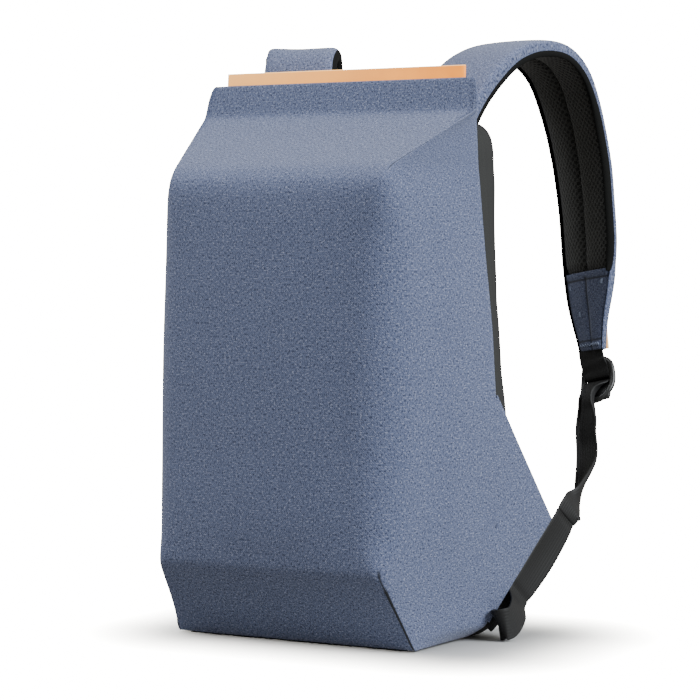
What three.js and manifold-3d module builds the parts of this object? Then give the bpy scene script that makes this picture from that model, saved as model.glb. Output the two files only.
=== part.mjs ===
// Anti theft backpack: a foam-backed cloth pouch with a folded collar, a padded back and two straps.
// Millimetres, +Z up. The origin is the middle of the base, on the floor, and the front faces -Y.
import * as THREE from 'three';
import { mergeVertices } from 'three/addons/utils/BufferGeometryUtils.js';
import Module from 'manifold-3d';

const wasm = await Module();
wasm.setup();

// Pouch
const bagHeight = 430;        // floor to the edge of the front collar
const faceHalf = 94;          // half width of the front face
const seamHalf = 135;         // widest half width, at the seam round the back
const pouchDepth = 119;       // front face to the back seam
const seamY = 40;             // plane of the back seam
const cornerRound = 34;       // softness of the long front corners
const cornerMost = 0.45;      // of a side that its round corner may take
const bendSteps = 5;          // straight steps round a corner
const faceCrown = 4;          // how far the front face bulges
const shellWall = 5;          // foam-backed cloth
const baseThick = 6;
const sewnGap = 0.3;          // between pieces that are sewn or pressed together
const cutOver = 10;           // how far a cutting body runs past what it cuts

// Back
const gussetDepth = 22.7;     // back seam to the back panel
const gussetWall = 4;
const backDrop = 28;          // the back's top edge, under the collar's
const backTop = bagHeight - backDrop;
const backCorner = 38;
const panelThick = 10.7;
const panelInset = 9;
const panelRound = 3;
const ventHalf = 14;          // half width of the air channel down the back
const ventDeep = 5;
const ventBottom = 46;
const ventEnd = 62;           // the channel's top, under the back's
const ventTop = backTop - ventEnd;

// Mouth
const rearCollarDrop = 2;     // its edge, under the front collar's
const rearCollarTall = 43;
const rearCollarTop = bagHeight - rearCollarDrop;
const rearCollarIn = 31;      // its ends, inside the seam's widest place
const rearCollarHalf = seamHalf - rearCollarIn;
const rearCollarWall = 3;
const mouthIn = 37.5;         // its ends, inside the seam's widest place
const mouthHalf = seamHalf - mouthIn; // half width that the gusset leaves open
const lipIn = 27.4;           // its ends, inside the seam's widest place
const lipHalf = seamHalf - lipIn;
const lipThick = 2.5;
const lipRise = 11;           // over the front collar
const lipTall = 27;
const lipTop = bagHeight + lipRise;

// Wings: the cloth that runs on past the seam to the strap's lower end
const wingWall = 3;
const wingSpread = 15;        // its tip, outside the seam's widest place
const wingOut = seamHalf + wingSpread;
const wingBack = 66;          // its tip, behind the back seam
const wingHigh = 89;          // its tip, over the floor
const wingFoot = 13;
const wingTop = 190;
const gussetInset = wingWall + sewnGap; // the gusset lies inside the wings

// Straps and webbing
const strapWidth = 68;
const strapThick = 12;
const coverWall = 1.5;
const strapSpread = 135;      // unit of the strap routes, across
const strapReach = 172;       // unit of the strap routes, behind the back panel
const padGap = 0.5;           // between a pad and the cloth round it
const foldShare = 0.3;        // how far the cover folds past the pad's middle, of strapThick
const lobeInner = 0.3;        // flat of a pad's lobe, of its half width: from here
const lobeOuter = 0.8;        // to here
const padSeam = 0.55;         // depth of a pad's middle seam, of its half thickness
const endThick = 0.7;         // of the tapered end, of its half thickness
const edgeCut = 0.3;          // corners off a flat strip, of its thickness
const strapLength = 444;
const taperShare = 1 / 7;     // the cloth-covered end below the mesh, as a share of strapLength
const webWidth = 25;
const webThick = 2;
const webStub = 6;            // webbing between a strap's end and its ladder lock
const tabLength = 17;
const tabWidth = 24;
const tabThick = 1.6;
const tabBack = 4;            // from the strap's end to the tab
const lockLength = 38;
const lockWidth = 33;
const lockRail = 3.6;
const lockAbove = 1.6;        // from the strap's webbing to the ladder lock
const lockBelow = 1.05;       // from the ladder lock to the lower webbing
const lockBar = 4;
const lockBow = 4;            // how far the ladder lock's rails arch outwards
const lockMiddle = 0.58;      // place of the middle bar along the lock
const webLeadIn = 8;          // the webbing runs in line with a wing's edge for this far
const bandPast = 12;          // how far the band starts before the wing's tip
const bandLength = 78;        // flat webbing sewn along a wing's lower edge

const blueCloth = new THREE.MeshStandardMaterial({ color: 0x6f7b97, roughness: 0.95, metalness: 0 });
const greyCloth = new THREE.MeshStandardMaterial({ color: 0x434644, roughness: 0.95, metalness: 0 });
const blackMesh = new THREE.MeshStandardMaterial({ color: 0x1d1d1b, roughness: 0.9, metalness: 0 });
const blackWeb = new THREE.MeshStandardMaterial({ color: 0x191919, roughness: 0.85, metalness: 0 });
const blackPlastic = new THREE.MeshStandardMaterial({ color: 0x1b1b1b, roughness: 0.45, metalness: 0 });
const tanLeather = new THREE.MeshStandardMaterial({ color: 0xdbb28b, roughness: 0.6, metalness: 0 });

// Sections of the pouch from the floor to the collar's edge, as shares of the named sizes:
// up of bagHeight, fore of pouchDepth, face of faceHalf, seam of seamHalf, soft of cornerRound.
const pouchRows = [
  { up: 0.0, fore: 0.681, face: 1.106, seam: 0.8, soft: 0.08 },
  { up: 0.015, fore: 0.718, face: 1.094, seam: 0.876, soft: 0.08 },
  { up: 0.03, fore: 0.756, face: 1.082, seam: 0.941, soft: 0.08 },
  { up: 0.074, fore: 0.87, face: 1.05, seam: 0.959, soft: 0.12 },
  { up: 0.112, fore: 0.962, face: 1.032, seam: 0.97, soft: 0.2 },
  { up: 0.144, fore: 0.998, face: 1.035, seam: 0.979, soft: 0.4 },
  { up: 0.209, fore: 1.0, face: 1.05, seam: 0.99, soft: 0.8 },
  { up: 0.349, fore: 0.975, face: 1.062, seam: 1.0, soft: 1.0 },
  { up: 0.535, fore: 0.946, face: 1.065, seam: 0.974, soft: 1.0 },
  { up: 0.698, fore: 0.92, face: 1.06, seam: 0.922, soft: 0.9 },
  { up: 0.791, fore: 0.899, face: 1.035, seam: 0.896, soft: 0.5 },
  { up: 0.821, fore: 0.861, face: 1.02, seam: 0.888, soft: 0.25 },
  { up: 0.842, fore: 0.782, face: 1.04, seam: 0.88, soft: 0.12 },
  { up: 0.893, fore: 0.429, face: 1.166, seam: 0.87, soft: 0.08 },
  { up: 0.94, fore: 0.101, face: 1.282, seam: 0.859, soft: 0.03 },
  { up: 0.949, fore: 0.08, face: 1.285, seam: 0.857, soft: 0.03 },
  { up: 1.0, fore: 0.05, face: 1.245, seam: 0.837, soft: 0.03 },
];

// Middle lines of the straps, from the back panel's top over and down to the wings. out is a share
// of strapSpread, back of strapReach behind the panel, up of bagHeight, wide of strapWidth; turn
// and dip are the bearing and the fall of the width, in degrees.
const rightRows = [
  { out: 0.43, back: 0.0, up: 0.865, wide: 1.0, turn: 0, dip: 0 },
  { out: 0.415, back: 0.015, up: 0.915, wide: 1.0, turn: -3, dip: 0 },
  { out: 0.426, back: 0.106, up: 0.962, wide: 1.0, turn: -6, dip: 0 },
  { out: 0.464, back: 0.249, up: 1.009, wide: 1.0, turn: -10, dip: 0 },
  { out: 0.507, back: 0.412, up: 1.054, wide: 1.0, turn: -13, dip: 0 },
  { out: 0.566, back: 0.581, up: 1.081, wide: 1.0, turn: -15, dip: 0 },
  { out: 0.64, back: 0.751, up: 1.077, wide: 0.99, turn: -16, dip: 0 },
  { out: 0.689, back: 0.885, up: 1.036, wide: 0.97, turn: -18, dip: 0 },
  { out: 0.73, back: 0.971, up: 0.966, wide: 0.96, turn: -20, dip: 0 },
  { out: 0.772, back: 1.01, up: 0.878, wide: 0.94, turn: -23, dip: 0 },
  { out: 0.81, back: 1.013, up: 0.782, wide: 0.91, turn: -25, dip: 0 },
  { out: 0.843, back: 0.996, up: 0.684, wide: 0.87, turn: -24, dip: 0 },
  { out: 0.873, back: 0.966, up: 0.591, wide: 0.69, turn: -21, dip: 0 },
  { out: 0.913, back: 0.945, up: 0.504, wide: 0.44, turn: -18, dip: 0 },
  { out: 0.93, back: 0.935, up: 0.449, wide: 0.44, turn: -16, dip: 0 },
  { out: 0.947, back: 0.845, up: 0.408, wide: 0.44, turn: -14, dip: 0 },
  { out: 0.963, back: 0.777, up: 0.36, wide: 0.44, turn: -13, dip: 0 },
  { out: 0.993, back: 0.723, up: 0.319, wide: 0.44, turn: -14, dip: 0 },
  { out: 1.03, back: 0.63, up: 0.288, wide: 0.44, turn: -26, dip: -4 },
  { out: 1.07, back: 0.517, up: 0.258, wide: 0.44, turn: -50, dip: -14 },
  { out: 1.115, back: 0.377, up: 0.228, wide: 0.44, turn: -78, dip: -30 },
];
const leftRows = [
  { out: 0.511, back: 0.0, up: 0.865, wide: 1.0, turn: 0, dip: 0 },
  { out: 0.515, back: 0.005, up: 0.93, wide: 1.0, turn: 0, dip: 0 },
  { out: 0.522, back: 0.028, up: 0.995, wide: 1.0, turn: -1, dip: 0 },
  { out: 0.544, back: 0.09, up: 1.045, wide: 1.0, turn: -2, dip: 0 },
  { out: 0.585, back: 0.183, up: 1.069, wide: 1.0, turn: -4, dip: 0 },
  { out: 0.644, back: 0.287, up: 1.042, wide: 1.0, turn: -6, dip: 0 },
  { out: 0.704, back: 0.409, up: 0.97, wide: 0.99, turn: -7, dip: 0 },
  { out: 0.748, back: 0.613, up: 0.867, wide: 0.96, turn: -8, dip: 0 },
  { out: 0.8, back: 0.822, up: 0.763, wide: 0.93, turn: -10, dip: 0 },
  { out: 0.844, back: 0.956, up: 0.651, wide: 0.9, turn: -12, dip: 0 },
  { out: 0.885, back: 0.997, up: 0.549, wide: 0.85, turn: -13, dip: 0 },
  { out: 0.911, back: 0.976, up: 0.46, wide: 0.68, turn: -12, dip: 0 },
  { out: 0.933, back: 0.944, up: 0.379, wide: 0.44, turn: -12, dip: 0 },
  { out: 0.952, back: 0.88, up: 0.328, wide: 0.44, turn: -12, dip: 0 },
  { out: 0.993, back: 0.729, up: 0.272, wide: 0.44, turn: -22, dip: -4 },
  { out: 1.052, back: 0.555, up: 0.244, wide: 0.44, turn: -48, dip: -14 },
  { out: 1.111, back: 0.38, up: 0.226, wide: 0.44, turn: -80, dip: -30 },
];

// The loop of webbing from a band's lower end round to the back corner of the base, as shares of
// webWidth: out and back past that corner, up over the floor.
const loopRows = [
  { out: 0.58, back: 0.88, up: 0.92, turn: -105, dip: -48 },
  { out: 0.68, back: 0.4, up: 0.64, turn: -105, dip: -70 },
  { out: 0.6, back: 0.12, up: 0.544, turn: -105, dip: -84 },
  { out: 0.36, back: 0.04, up: 0.544, turn: -105, dip: -88 },
  { out: 0.144, back: 0.12, up: 0.544, turn: -105, dip: -88 },
];

const panelY = seamY + sewnGap + gussetDepth;
const backY = panelY + sewnGap + panelThick;
const strapY = backY + sewnGap + strapThick / 2;
const lipY = seamY - pouchRows.at(-1).fore * pouchDepth + shellWall + sewnGap;

// A closed surface from rings of points: each ring is a flat list, and place puts it in space.
function loft(sections, place) {
  const count = sections[0].length;
  const points = sections.flatMap((section, row) => section.map((spot) => place(row, spot)));
  const faces = [];
  for (let row = 0; row + 1 < sections.length; row++) {
    for (let i = 0; i < count; i++) {
      const a = row * count + i;
      const b = row * count + ((i + 1) % count);
      faces.push(a, b, b + count, a, b + count, a + count);
    }
  }
  const last = (sections.length - 1) * count;
  for (const [a, b, c] of capFaces(sections[0])) faces.push(c, b, a);
  for (const [a, b, c] of capFaces(sections.at(-1))) faces.push(a + last, b + last, c + last);
  const geometry = new THREE.BufferGeometry();
  const numbers = points.flatMap((p) => [p.x, p.y, p.z]);
  geometry.setAttribute('position', new THREE.Float32BufferAttribute(numbers, 3));
  geometry.setIndex(faces);
  return facingOut(geometry);
}

// Triangles over a flat section, turned the way that its outline runs.
function capFaces(section) {
  const flat = section.map(([a, b]) => new THREE.Vector2(a, b));
  const faces = THREE.ShapeUtils.triangulateShape(flat, []);
  const first = faces[0].map((i) => flat[i]);
  const same = THREE.ShapeUtils.area(first) > 0 === THREE.ShapeUtils.area(flat) > 0;
  return same ? faces : faces.map(([p, q, r]) => [p, r, q]);
}

// Turns every face over when the closed surface is inside out.
function facingOut(geometry) {
  const place = geometry.getAttribute('position');
  const index = geometry.getIndex().array;
  const [a, b, c] = [new THREE.Vector3(), new THREE.Vector3(), new THREE.Vector3()];
  let volume = 0;
  for (let i = 0; i < index.length; i += 3) {
    a.fromBufferAttribute(place, index[i]);
    b.fromBufferAttribute(place, index[i + 1]);
    c.fromBufferAttribute(place, index[i + 2]);
    volume += a.dot(b.cross(c));
  }
  if (volume < 0) geometry.setIndex(Array.from(index).reverse());
  return geometry;
}

function toSolid(geometry) {
  const bare = geometry.clone();
  bare.deleteAttribute('normal');
  bare.deleteAttribute('uv');
  const merged = mergeVertices(bare, 1e-4);
  return new wasm.Manifold(new wasm.Mesh({
    numProp: 3,
    vertProperties: new Float32Array(merged.getAttribute('position').array),
    triVerts: new Uint32Array(merged.getIndex().array),
  }));
}

function toGeometry(solid) {
  const mesh = solid.getMesh();
  const geometry = new THREE.BufferGeometry();
  geometry.setAttribute('position', new THREE.BufferAttribute(mesh.vertProperties, 3));
  geometry.setIndex(Array.from(mesh.triVerts));
  return geometry;
}

// A box from its two corners.
function block(low, high) {
  const size = high.map((value, i) => value - low[i]);
  const geometry = new THREE.BoxGeometry(...size);
  return geometry.translate(...low.map((value, i) => value + size[i] / 2));
}

// A flat outline in X and Z, thickened from one depth to another.
function slab(shape, from, to, round = 0) {
  const geometry = new THREE.ExtrudeGeometry(shape, {
    depth: to - from - 2 * round,
    curveSegments: 6,
    bevelEnabled: round > 0,
    bevelThickness: round,
    bevelSize: round,
    bevelOffset: -round,
    bevelSegments: 2,
  });
  return geometry.rotateX(Math.PI / 2).translate(0, to - round, 0);
}

// Half outline of one level of the pouch, its corner as a curve, then mirrored and closed behind.
function pouchSection(row, inset, rear) {
  const frontY = seamY - row.fore * pouchDepth + inset;
  const corner = new THREE.Vector2(row.face * faceHalf - inset, frontY);
  const seam = new THREE.Vector2(row.seam * seamHalf - inset, seamY);
  const soft = Math.min(row.soft * cornerRound, corner.distanceTo(seam) * cornerMost);
  const start = corner.clone().setX(corner.x - soft);
  const end = corner.clone().lerp(seam, soft / corner.distanceTo(seam));
  const crown = faceCrown * row.soft;
  const half = [];
  for (const share of [0.25, 0.5, 0.75]) {
    half.push([start.x * share, frontY - crown * (1 - share * share)]);
  }
  const bend = new THREE.QuadraticBezierCurve(start, corner, end);
  for (const point of bend.getPoints(bendSteps)) half.push([point.x, point.y]);
  half.push([(end.x + seam.x) / 2, (end.y + seam.y) / 2], [seam.x, seamY]);
  if (rear > seamY) half.push([seam.x, rear]);
  const mirrored = half.map(([x, y]) => [-x, y]).reverse();
  return [...mirrored, [0, frontY - crown], ...half];
}

function pouchSolid(inset, rear) {
  const levels = pouchRows.map((row, i) => {
    const below = pouchRows[Math.max(i - 1, 0)];
    const above = pouchRows[Math.min(i + 1, pouchRows.length - 1)];
    const rise = new THREE.Vector2((below.fore - above.fore) * pouchDepth, (above.up - below.up) * bagHeight);
    rise.normalize();
    return { section: pouchSection(row, inset, rear), z: row.up * bagHeight - inset * rise.x };
  });
  if (inset > 0) {
    levels.unshift({ section: levels[0].section, z: -cutOver });
    levels.push({ section: levels.at(-1).section, z: bagHeight + cutOver });
  }
  const sections = levels.map((level) => level.section);
  return toSolid(loft(sections, (row, [x, y]) => new THREE.Vector3(x, y, levels[row].z)));
}

// Half width of the back seam at a height.
function seamAt(z) {
  const up = z / bagHeight;
  const next = pouchRows.findIndex((row) => row.up >= up);
  if (next <= 0) return pouchRows[Math.max(next, 0)].seam * seamHalf;
  const [low, high] = [pouchRows[next - 1], pouchRows[next]];
  const share = (up - low.up) / (high.up - low.up);
  return (low.seam + (high.seam - low.seam) * share) * seamHalf;
}

// Outline of the back: the seam's own line up to the round top corners. The foot stays on the floor.
function backOutline(inset, foot = 0, Outline = THREE.Shape) {
  const shoulder = backTop - backCorner;
  const side = pouchRows.map((row) => row.up * bagHeight).filter((z) => z < shoulder);
  const half = side.map((z) => [seamAt(z) - inset, Math.max(z, foot)]);
  half.push([seamAt(shoulder) - inset, shoulder]);
  const outline = new Outline();
  outline.moveTo(-half[0][0], foot);
  for (const [x, z] of half) outline.lineTo(x, z);
  const top = half.at(-1)[0];
  outline.quadraticCurveTo(top, backTop - inset, top - backCorner, backTop - inset);
  outline.lineTo(backCorner - top, backTop - inset);
  outline.quadraticCurveTo(-top, backTop - inset, -top, shoulder);
  for (const [x, z] of half.toReversed().slice(1, -1)) outline.lineTo(-x, z);
  outline.closePath();
  return outline;
}

function frontShell() {
  return toGeometry(pouchSolid(0, seamY).subtract(pouchSolid(shellWall, seamY + cutOver)));
}

function bottomPanel() {
  const front = pouchRows[0];
  const clear = shellWall + sewnGap;
  const frontX = front.face * faceHalf - clear - front.soft * cornerRound;
  const frontY = seamY - front.fore * pouchDepth + clear;
  const shape = new THREE.Shape();
  shape.moveTo(-frontX, frontY);
  shape.lineTo(frontX, frontY);
  shape.lineTo(front.seam * seamHalf - clear, seamY);
  shape.lineTo(clear - front.seam * seamHalf, seamY);
  shape.closePath();
  return new THREE.ExtrudeGeometry(shape, { depth: baseThick, bevelEnabled: false });
}

function backGusset() {
  const ring = backOutline(gussetInset);
  ring.holes.push(backOutline(gussetInset + gussetWall, gussetWall, THREE.Path));
  const mouth = block([-mouthHalf, seamY, backTop - backCorner], [mouthHalf, backY, backTop + cutOver]);
  return toGeometry(toSolid(slab(ring, seamY + sewnGap, panelY)).subtract(toSolid(mouth)));
}

function backPanel() {
  const board = slab(backOutline(panelInset), panelY + sewnGap, backY, panelRound);
  const vent = new THREE.Shape();
  vent.moveTo(-ventHalf, ventBottom + ventHalf);
  vent.absarc(0, ventBottom + ventHalf, ventHalf, Math.PI, 2 * Math.PI);
  vent.lineTo(ventHalf, ventTop - ventHalf);
  vent.absarc(0, ventTop - ventHalf, ventHalf, 0, Math.PI);
  return toGeometry(toSolid(board).subtract(toSolid(slab(vent, backY - ventDeep, backY + cutOver))));
}

// The rear half of the mouth: a wall in front of the back panel's top, with a return at each end.
function rearCollar() {
  const outer = rearCollarHalf;
  const inner = outer - rearCollarWall;
  const frontY = lipY + lipThick + sewnGap;
  const rearY = panelY - sewnGap;
  const plan = new THREE.Shape();
  plan.moveTo(-outer, frontY);
  plan.lineTo(-outer, rearY);
  plan.lineTo(outer, rearY);
  plan.lineTo(outer, frontY);
  plan.lineTo(inner, frontY);
  plan.lineTo(inner, rearY - rearCollarWall);
  plan.lineTo(-inner, rearY - rearCollarWall);
  plan.lineTo(-inner, frontY);
  plan.closePath();
  const wall = new THREE.ExtrudeGeometry(plan, { depth: rearCollarTall, bevelEnabled: false });
  wall.translate(0, 0, rearCollarTop - rearCollarTall);
  const gusset = toSolid(slab(backOutline(gussetInset - sewnGap), seamY, panelY));
  const middle = toSolid(block([-mouthHalf, seamY - cutOver, 0], [mouthHalf, backY, backTop + cutOver]));
  return toGeometry(toSolid(wall).subtract(gusset.subtract(middle)));
}

function leatherLip() {
  return block([-lipHalf, lipY, lipTop - lipTall], [lipHalf, lipY + lipThick, lipTop]);
}

const wingPoint = (side) => new THREE.Vector3(side * wingOut, seamY + wingBack, wingHigh);
const wingLow = (side) => new THREE.Vector3(side * seamAt(wingFoot), seamY, wingFoot);

// A wing: level strips from the seam to its two slanting edges, which meet in the tip.
function wing(side) {
  const ends = [wingFoot + wingWall, wingHigh, wingTop - wingWall];
  const between = pouchRows.map((row) => row.up * bagHeight).filter((z) => z > ends[0] && z < ends[2]);
  const levels = [...ends, ...between].sort((a, b) => a - b).map((z) => {
    const low = z <= wingHigh;
    const part = low ? (z - wingFoot) / (wingHigh - wingFoot) : (wingTop - z) / (wingTop - wingHigh);
    const edge = seamAt(low ? wingFoot : wingTop);
    return { z, seam: seamAt(z), x: edge + (wingOut - edge) * part, y: seamY + wingBack * part };
  });
  const sections = levels.map((level) => [
    [level.seam, seamY + sewnGap],
    [level.x, level.y],
    [level.x - wingWall, level.y],
    [level.seam - wingWall, seamY + sewnGap],
  ]);
  return loft(sections, (row, [x, y]) => new THREE.Vector3(side * x, y, levels[row].z));
}

// A strap's whole route, down to its wing: a place, a bearing and a width at any length along it.
function strapRoute(rows, side) {
  const points = rows.map((row) => new THREE.Vector3(
    row.out * strapSpread, strapY + row.back * strapReach, row.up * bagHeight));
  const { start, edge, away } = bandLine(1);
  for (const before of [webLeadIn, sewnGap]) points.push(start.clone().addScaledVector(edge, -before));
  const last = { ...bearingOf(away.clone().negate()), wide: webWidth / strapWidth };
  const columns = [...rows, last, last];
  return routeAlong(points, columns, side);
}

// Bearing and fall of a direction, in degrees.
function bearingOf(direction) {
  const turn = THREE.MathUtils.radToDeg(Math.atan2(direction.y, direction.x));
  return { turn, dip: -THREE.MathUtils.radToDeg(Math.asin(direction.z)) };
}

function routeAlong(points, columns, side) {
  const curve = new THREE.CatmullRomCurve3(points, false, 'centripetal');
  curve.arcLengthDivisions = 400;
  const at = (distance) => {
    const t = curve.getUtoTmapping(0, Math.min(distance, curve.getLength()));
    const step = Math.min(Math.floor(t * (points.length - 1)), points.length - 2);
    const share = t * (points.length - 1) - step;
    const mix = (name) => columns[step][name] + (columns[step + 1][name] - columns[step][name]) * share;
    const turn = THREE.MathUtils.degToRad(mix('turn'));
    const dip = THREE.MathUtils.degToRad(mix('dip'));
    const along = curve.getTangent(t);
    const level = Math.cos(dip);
    const across = new THREE.Vector3(level * Math.cos(turn), level * Math.sin(turn), -Math.sin(dip));
    across.addScaledVector(along, -across.dot(along)).normalize();
    const out = new THREE.Vector3().crossVectors(across, along);
    return { place: curve.getPoint(t), along, across, out, wide: mix('wide') };
  };
  return { at, length: curve.getLength(), side };
}

// The straight line down the middle of the band that is sewn along a wing's lower edge.
function bandLine(side) {
  const tip = wingPoint(side);
  const edge = wingLow(side).sub(tip).normalize();
  const top = new THREE.Vector3(side * seamAt(wingTop), seamY, wingTop).sub(tip);
  const away = top.clone().addScaledVector(edge, -top.dot(edge)).normalize().negate();
  const face = new THREE.Vector3().crossVectors(edge, away).multiplyScalar(side);
  const start = tip.clone().addScaledVector(away, webWidth / 2 + sewnGap).addScaledVector(face, -webThick / 2);
  start.addScaledVector(edge, -bandPast);
  return { start, edge, away, face };
}

// A strip along a route between two lengths. profile gives its outline across and outwards.
function strip(route, from, to, steps, profile) {
  const lengths = [];
  for (let i = 0; i <= steps; i++) lengths.push(from + ((to - from) * i) / steps);
  return stripAt(route, lengths, profile);
}

function stripAt(route, lengths, profile) {
  const stations = lengths.map((length) => route.at(length));
  const sections = stations.map((station) => profile(station));
  return loft(sections, (row, [a, b]) => {
    const point = stations[row].place.clone();
    point.addScaledVector(stations[row].across, a).addScaledVector(stations[row].out, b);
    point.x *= route.side;
    return point;
  });
}

// A flat strip's outline with its corners taken off, from depth low to depth high.
function flatProfile(width, low, high) {
  const cut = Math.min(high - low, width) * edgeCut;
  const half = width / 2;
  return [
    [-half, low + cut], [-half + cut, low], [half - cut, low], [half, low + cut],
    [half, high - cut], [half - cut, high], [-half + cut, high], [-half, high - cut],
  ];
}

const webProfile = () => flatProfile(webWidth, -webThick / 2, webThick / 2);

// Every strap layer is cut at the same steps, so that the layers stay apart in the bends.
const strapSteps = 42;
const taperStep = Math.round(strapSteps * (1 - taperShare));
const coverLow = -strapThick * foldShare;
const strapHalfThick = strapThick / 2;
const padEdge = coverWall + padGap;

function strapLayer(route, first, last, profile) {
  const lengths = [];
  for (let step = first; step <= last; step++) lengths.push((strapLength * step) / strapSteps);
  if (first > 0) lengths[0] += sewnGap;
  return stripAt(route, lengths, profile);
}

// The outer cloth: a channel whose sides fold over the pad's edges.
function strapCover(route) {
  return strapLayer(route, 0, strapSteps, ({ wide }) => {
    const half = (wide * strapWidth) / 2;
    const top = strapHalfThick;
    return [
      [-half, coverLow], [-half + coverWall, coverLow], [-half + coverWall, top - padEdge],
      [-half + padEdge * 2, top - coverWall], [half - padEdge * 2, top - coverWall],
      [half - coverWall, top - padEdge], [half - coverWall, coverLow], [half, coverLow],
      [half, top - padEdge], [half - padEdge, top], [-half + padEdge, top], [-half, top - padEdge],
    ];
  });
}

// The pad: foam with a mesh face, in two lobes beside a middle seam.
function strapPad(route) {
  return strapLayer(route, 0, taperStep, ({ wide }) => {
    const half = (wide * strapWidth) / 2 - padEdge;
    const top = strapHalfThick - padEdge;
    const seam = -strapHalfThick * padSeam;
    return [
      [-half, coverLow], [-half * lobeOuter, -strapHalfThick],
      [-half * lobeInner, -strapHalfThick], [0, seam], [half * lobeInner, -strapHalfThick],
      [half * lobeOuter, -strapHalfThick], [half, coverLow],
      [half, top - padEdge], [half - padEdge, top], [-half + padEdge, top], [-half, top - padEdge],
    ];
  });
}

function strapEnd(route) {
  return strapLayer(route, taperStep, strapSteps, ({ wide }) => {
    const width = wide * strapWidth - 2 * padEdge;
    return flatProfile(width, -strapHalfThick * endThick, strapHalfThick - padEdge);
  });
}

function leatherTab(route) {
  const low = strapHalfThick + sewnGap;
  const to = strapLength - tabBack;
  return strip(route, to - tabLength, to, 4, () => flatProfile(tabWidth, low, low + tabThick));
}

function strapWebbing(route) {
  const from = strapLength + sewnGap;
  return strip(route, from, strapLength + webStub, 3, webProfile);
}

const lockStart = strapLength + webStub + lockAbove;

// Where the webbing goes on below a lock, which is straight while its route bends.
function lockEnd(route) {
  const from = route.at(lockStart).place;
  let length = lockStart + lockLength;
  while (route.at(length).place.distanceTo(from) < lockLength) length += sewnGap;
  return length;
}

// A ladder lock: two arched rails and three round bars, square to the webbing.
function ladderLock(route) {
  const [from, to] = [lockStart, lockEnd(route)].map((length) => route.at(length));
  const along = to.place.clone().sub(from.place).normalize();
  const out = from.out.clone().add(to.out);
  out.addScaledVector(along, -out.dot(along)).normalize();
  const bow = (share) => lockBow * (1 - (2 * share - 1) ** 2);
  const rail = new THREE.Shape();
  const marks = [0, 0.25, 0.5, 0.75, 1];
  const spot = (share, off) => [(share - 0.5) * (lockLength - lockBar), bow(share) + off];
  const start = spot(0, -lockBar / 2);
  rail.moveTo(...start);
  for (const share of marks.slice(1)) rail.lineTo(...spot(share, -lockBar / 2));
  rail.absarc(...spot(1, 0), lockBar / 2, -Math.PI / 2, Math.PI / 2);
  for (const share of marks.toReversed().slice(1, -1)) rail.lineTo(...spot(share, lockBar / 2));
  rail.absarc(...spot(0, 0), lockBar / 2, Math.PI / 2, 1.5 * Math.PI);
  const flat = { depth: lockRail, bevelEnabled: false, curveSegments: 4 };
  const side = (place) => new THREE.ExtrudeGeometry(rail, flat).translate(0, 0, place);
  const bar = (share) => {
    const [along, out] = spot(share, 0);
    return new THREE.CylinderGeometry(lockBar / 2, lockBar / 2, lockWidth - lockRail, 10)
      .rotateX(Math.PI / 2).translate(along, out, 0);
  };
  const half = lockWidth / 2;
  let solid = toSolid(side(-half)).add(toSolid(side(half - lockRail)));
  for (const share of [0, lockMiddle, 1]) solid = solid.add(toSolid(bar(share)));
  const geometry = toGeometry(solid);
  const turn = new THREE.Matrix4().makeBasis(along, out, along.clone().cross(out));
  turn.setPosition(from.place.clone().lerp(to.place, 0.5));
  geometry.applyMatrix4(turn);
  if (route.side < 0) geometry.scale(-1, 1, 1);
  return facingOut(geometry);
}

function lowerWebbing(route) {
  return strip(route, lockEnd(route) + lockBelow, route.length, 16, webProfile);
}

function anchorBand(side) {
  const { start, edge, away, face } = bandLine(side);
  const sections = [0, bandLength].map(webProfile);
  return loft(sections, (row, [a, b]) => start.clone().addScaledVector(edge, row * bandLength)
    .addScaledVector(away, a).addScaledVector(face, b));
}

function anchorLoop(side) {
  const corner = wingLow(1);
  const { start, edge, away } = bandLine(1);
  const points = [sewnGap, webLeadIn / 3].map((past) => start.clone().addScaledVector(edge, bandLength + past));
  for (const row of loopRows) {
    const step = new THREE.Vector3(row.out, row.back, row.up).multiplyScalar(webWidth);
    points.push(step.add(corner.clone().setZ(0)));
  }
  const first = bearingOf(away.clone().negate());
  const columns = [first, first, ...loopRows].map((row) => ({ ...row, wide: 1 }));
  const route = routeAlong(points, columns, side);
  return strip(route, 0, route.length, 12, webProfile);
}

const group = new THREE.Group();

function add(name, geometry, material) {
  const mesh = new THREE.Mesh(geometry, material);
  mesh.name = name;
  group.add(mesh);
}

add('front_shell', frontShell(), blueCloth);
add('bottom_panel', bottomPanel(), greyCloth);
add('back_gusset', backGusset(), greyCloth);
add('back_panel', backPanel(), blackMesh);
add('rear_collar', rearCollar(), blueCloth);
add('leather_lip', leatherLip(), tanLeather);

const sides = [
  { name: 'right', side: 1, rows: rightRows },
  { name: 'left', side: -1, rows: leftRows },
];
for (const { name, side, rows } of sides) {
  const route = strapRoute(rows, side);
  add(`wing_${name}`, wing(side), blueCloth);
  add(`strap_cover_${name}`, strapCover(route), blueCloth);
  add(`strap_pad_${name}`, strapPad(route), blackMesh);
  add(`strap_end_${name}`, strapEnd(route), blueCloth);
  add(`strap_webbing_${name}`, strapWebbing(route), blackWeb);
  add(`ladder_lock_${name}`, ladderLock(route), blackPlastic);
  add(`lower_webbing_${name}`, lowerWebbing(route), blackWeb);
  add(`anchor_band_${name}`, anchorBand(side), blackWeb);
  add(`anchor_loop_${name}`, anchorLoop(side), blackWeb);
  if (side > 0) add('leather_tab_right', leatherTab(route), tanLeather);
}

export default group;
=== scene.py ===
"""Anti theft backpack: the visual model, in metres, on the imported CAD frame.

A heathered cloth pouch with a folded collar, a dark gusset, a padded mesh back and two straps.
"""

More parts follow.
